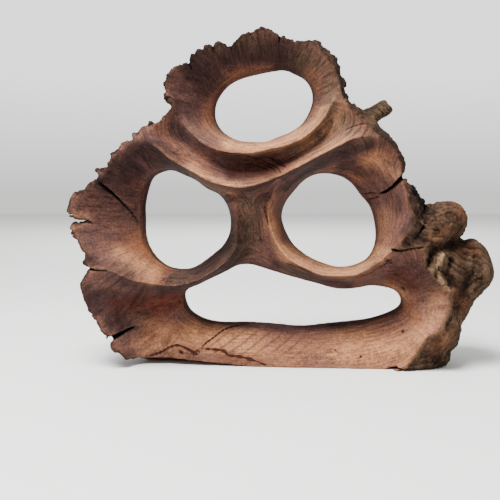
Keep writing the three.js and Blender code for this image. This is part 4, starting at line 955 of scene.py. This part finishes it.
def makeRootWood():
    look = rootWood
    material = bpy.data.materials.new("weathered_root_wood")
    material.use_nodes = True
    tree = material.node_tree
    tree.nodes.clear()
    add = partial(addNode, tree)
    blend = {"data_type": "RGBA", "out": 2}
    part = {name: add("Attribute", attribute_name=name, out="Fac") for name in masks}
    body = add("VectorMath", add("TexCoord", out="Object"), links={"Scale": 1 / mm}, operation="SCALE")
    spaces = {name: add("Attribute", attribute_name=name, out="Vector") for name in fibres}
    spaces.update(body=body, shifted=add("Mapping", body, (40, 0, 90)))

    for name, (*places, width, detail, roughness, twist) in look["patterns"].items():
        noises = [add("TexNoise", spaces[place], links={
            "Scale": 1 / width, "Detail": detail, "Roughness": roughness, "Distortion": twist})
            for place in places]
        part[name] = noises[0] if len(noises) == 1 else add(
            "Mix", part["radial"], links={2: noises[0], 3: noises[1]})

    def summed(total, weights):      # masks and patterns, each times its weight
        for name, weight in weights.items():
            total = add("Math", part[name], weight, total, operation="MULTIPLY_ADD")
        return total

    def washed(colour, washes):      # each wash lies over what was there before
        for paint, share, *where in washes:
            for name, low, high in where:
                share = add("Math", share, add("MapRange", part[name], low, high), operation="MULTIPLY")
            colour = add("Mix", links={0: share, 6: colour, 7: toLinear(look[paint])}, **blend)
        return colour

    part["barkGrain"] = summed(0, look["barkGrain"])
    part["oldSkin"] = add("Clamp", summed(look["oldSkinBase"], look["oldSkin"]))
    mottled = add("MapRange", part["mottle"], *look["paleMottle"])
    part["paleMottled"] = add("Math", part["pale"], mottled, operation="MULTIPLY")
    part["proud"] = add("MapRange", part["swell"], *look["proudFrom"])
    part["rubbed"] = summed(0, look["rubbed"])
    part["openGrain"] = summed(look["openGrainBase"], look["openGrain"])
    lean, turn = math.radians(look["ringLean"]), 2 * math.pi / look["ringSpacing"]
    part["across"] = add("VectorMath", body, (math.cos(lean), 0, -math.sin(lean)),
                         operation="DOT_PRODUCT", out="Value")
    wave = summed(0, {"across": turn, "cloud": look["ringWander"] * turn})
    part["rings"] = add("Math", wave, operation="SINE")
    part["offLine"] = add("Math", part["lineSide"], operation="ABSOLUTE")
    within = summed(look["lineWider"], {"lineHalf": 1, "offLine": -1})
    part["inLine"] = add("Math", add("MapRange", within, *look["lineSoft"]),
                         add("MapRange", part["lineAway"], *look["lineEnd"]), operation="MULTIPLY")

    carved = washed(toLinear(look["worn"]), look["wornWashes"])
    for (name, stops), share in zip(look["tones"].items(), (part["openGrain"], look["speckleShare"])):
        tone = add("ValToRGB", part[name], stops=stops)
        carved = add("Mix", links={0: share, 6: carved, 7: tone}, blend_type="MULTIPLY", **blend)
    carved = washed(carved, look["lateWashes"])
    stops = [(place, look[paint]) for place, paint in look["barkStops"]]
    bark = washed(add("ValToRGB", part["barkGrain"], stops=stops), look["barkWashes"])
    colour = add("Mix", links={0: part["carved"], 6: bark, 7: carved}, **blend)
    colour = washed(colour, look["lastWashes"])
    height = add("Mix", part["carved"], links={
        2: summed(0, look["barkHeight"]), 3: summed(0, look["carvedHeight"])})
    bump = add("Bump", links={"Height": height, "Distance": look["bumpHeight"] * mm,
                              "Strength": look["bumpStrength"]})
    spread = look["roughnessSpread"]
    shader = add("BsdfPrincipled", links={
        "Base Color": colour, "Roughness": summed(look["roughness"] - spread / 2, {"mottle": spread}),
        "Normal": bump, "Specular IOR Level": look["specular"], "IOR": look["ior"]})
    add("OutputMaterial", shader)
    return material


snapToForks()
centres = points[quads].mean(1)
limbs = limbOf(centres[:, 0], centres[:, 2])
weatheredRootWood = makeRootWood()
for node in sorted(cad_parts):
    piece = limbPiece(node + "_skin", quads[limbs == node])
    piece.data.materials.append(weatheredRootWood)
    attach(piece, "root")
    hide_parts(node)
    print(node, len(piece.data.polygons), "faces")

# Floor, light and camera
studio = {
    "floor": "#f0f0ee", "floorReach": 4, "floorRoughness": 0.7,
    "wallLow": "#a5a5a4", "wallHigh": "#dcdddd", "wallFrom": 0.5, "wallTo": 0.58, "wallStrength": 2.5,
    "room": ((0, 0.06), (0.45, 0.22), (0.8, 0.9)),      # how bright the room is, from below to above
    "lens": 50, "sensor": 36,
    "cameraAt": (-0.0216, -0.5, 0.121), "cameraDown": 4.5284,        # metres, degrees
    "lamps": [
        {"name": "window_above", "at": (-0.25, -0.36, 0.95), "aim": (0, 0, 0.1), "size": 0.5, "watts": 30},
        {"name": "light_behind", "at": (0, 1.3, 1.2), "aim": (0, 2.2, 0), "size": 1.2, "watts": 25},
    ],
}


def makeFloor():
    mesh = bpy.data.meshes.new("pale_floor")
    reach = studio["floorReach"]
    corners = [(x * reach, y * reach, 0) for x, y in ((-1, -1), (1, -1), (1, 1), (-1, 1))]
    mesh.from_pydata(corners, [], [(0, 1, 2, 3)])
    floor = bpy.data.objects.new("pale_floor", mesh)
    bpy.context.scene.collection.objects.link(floor)
    material = bpy.data.materials.new("painted_table")      # matt white paint
    material.use_nodes = True
    tree = material.node_tree
    tree.nodes.clear()
    paint = addNode(tree, "BsdfPrincipled", toLinear(studio["floor"]),
                    links={"Roughness": studio["floorRoughness"]})
    addNode(tree, "OutputMaterial", paint)
    mesh.materials.append(material)


def makeStudio():
    world = bpy.data.worlds.new("soft_room")
    world.use_nodes = True
    tree = world.node_tree
    tree.nodes.clear()
    add = partial(addNode, tree)
    # The wood is lit by a room that is bright above; what stands behind it is a plain pale wall
    up = add("SeparateXYZ", add("TexCoord", out="Generated"), out="Z")
    height = add("MapRange", up, -1, 1)
    room = add("Background", add("ValToRGB", height, stops=studio["room"]))
    backdrop = add("ValToRGB", height, stops=((studio["wallFrom"], studio["wallLow"]),
                                              (studio["wallTo"], studio["wallHigh"])))
    wall = add("Background", backdrop, studio["wallStrength"])
    add("OutputWorld", add("MixShader", add("LightPath", out="Is Camera Ray"), room, wall))
    bpy.context.scene.world = world
    for lamp in studio["lamps"]:
        light = bpy.data.lights.new(lamp["name"], "AREA")
        light.size = lamp["size"]
        light.energy = lamp["watts"]
        holder = bpy.data.objects.new(lamp["name"], light)
        holder.location = lamp["at"]
        towards = Vector(lamp["aim"]) - Vector(lamp["at"])
        holder.rotation_euler = towards.to_track_quat("-Z", "Y").to_euler()
        bpy.context.scene.collection.objects.link(holder)
    lens = bpy.data.cameras.new("camera")
    lens.lens = studio["lens"]
    lens.sensor_width = studio["sensor"]
    camera = bpy.data.objects.new("camera", lens)
    camera.location = studio["cameraAt"]
    camera.rotation_euler = (math.radians(90 - studio["cameraDown"]), 0, 0)
    bpy.context.scene.collection.objects.link(camera)
    bpy.context.scene.camera = camera


makeFloor()
makeStudio()
print("floor, lamps and camera placed")
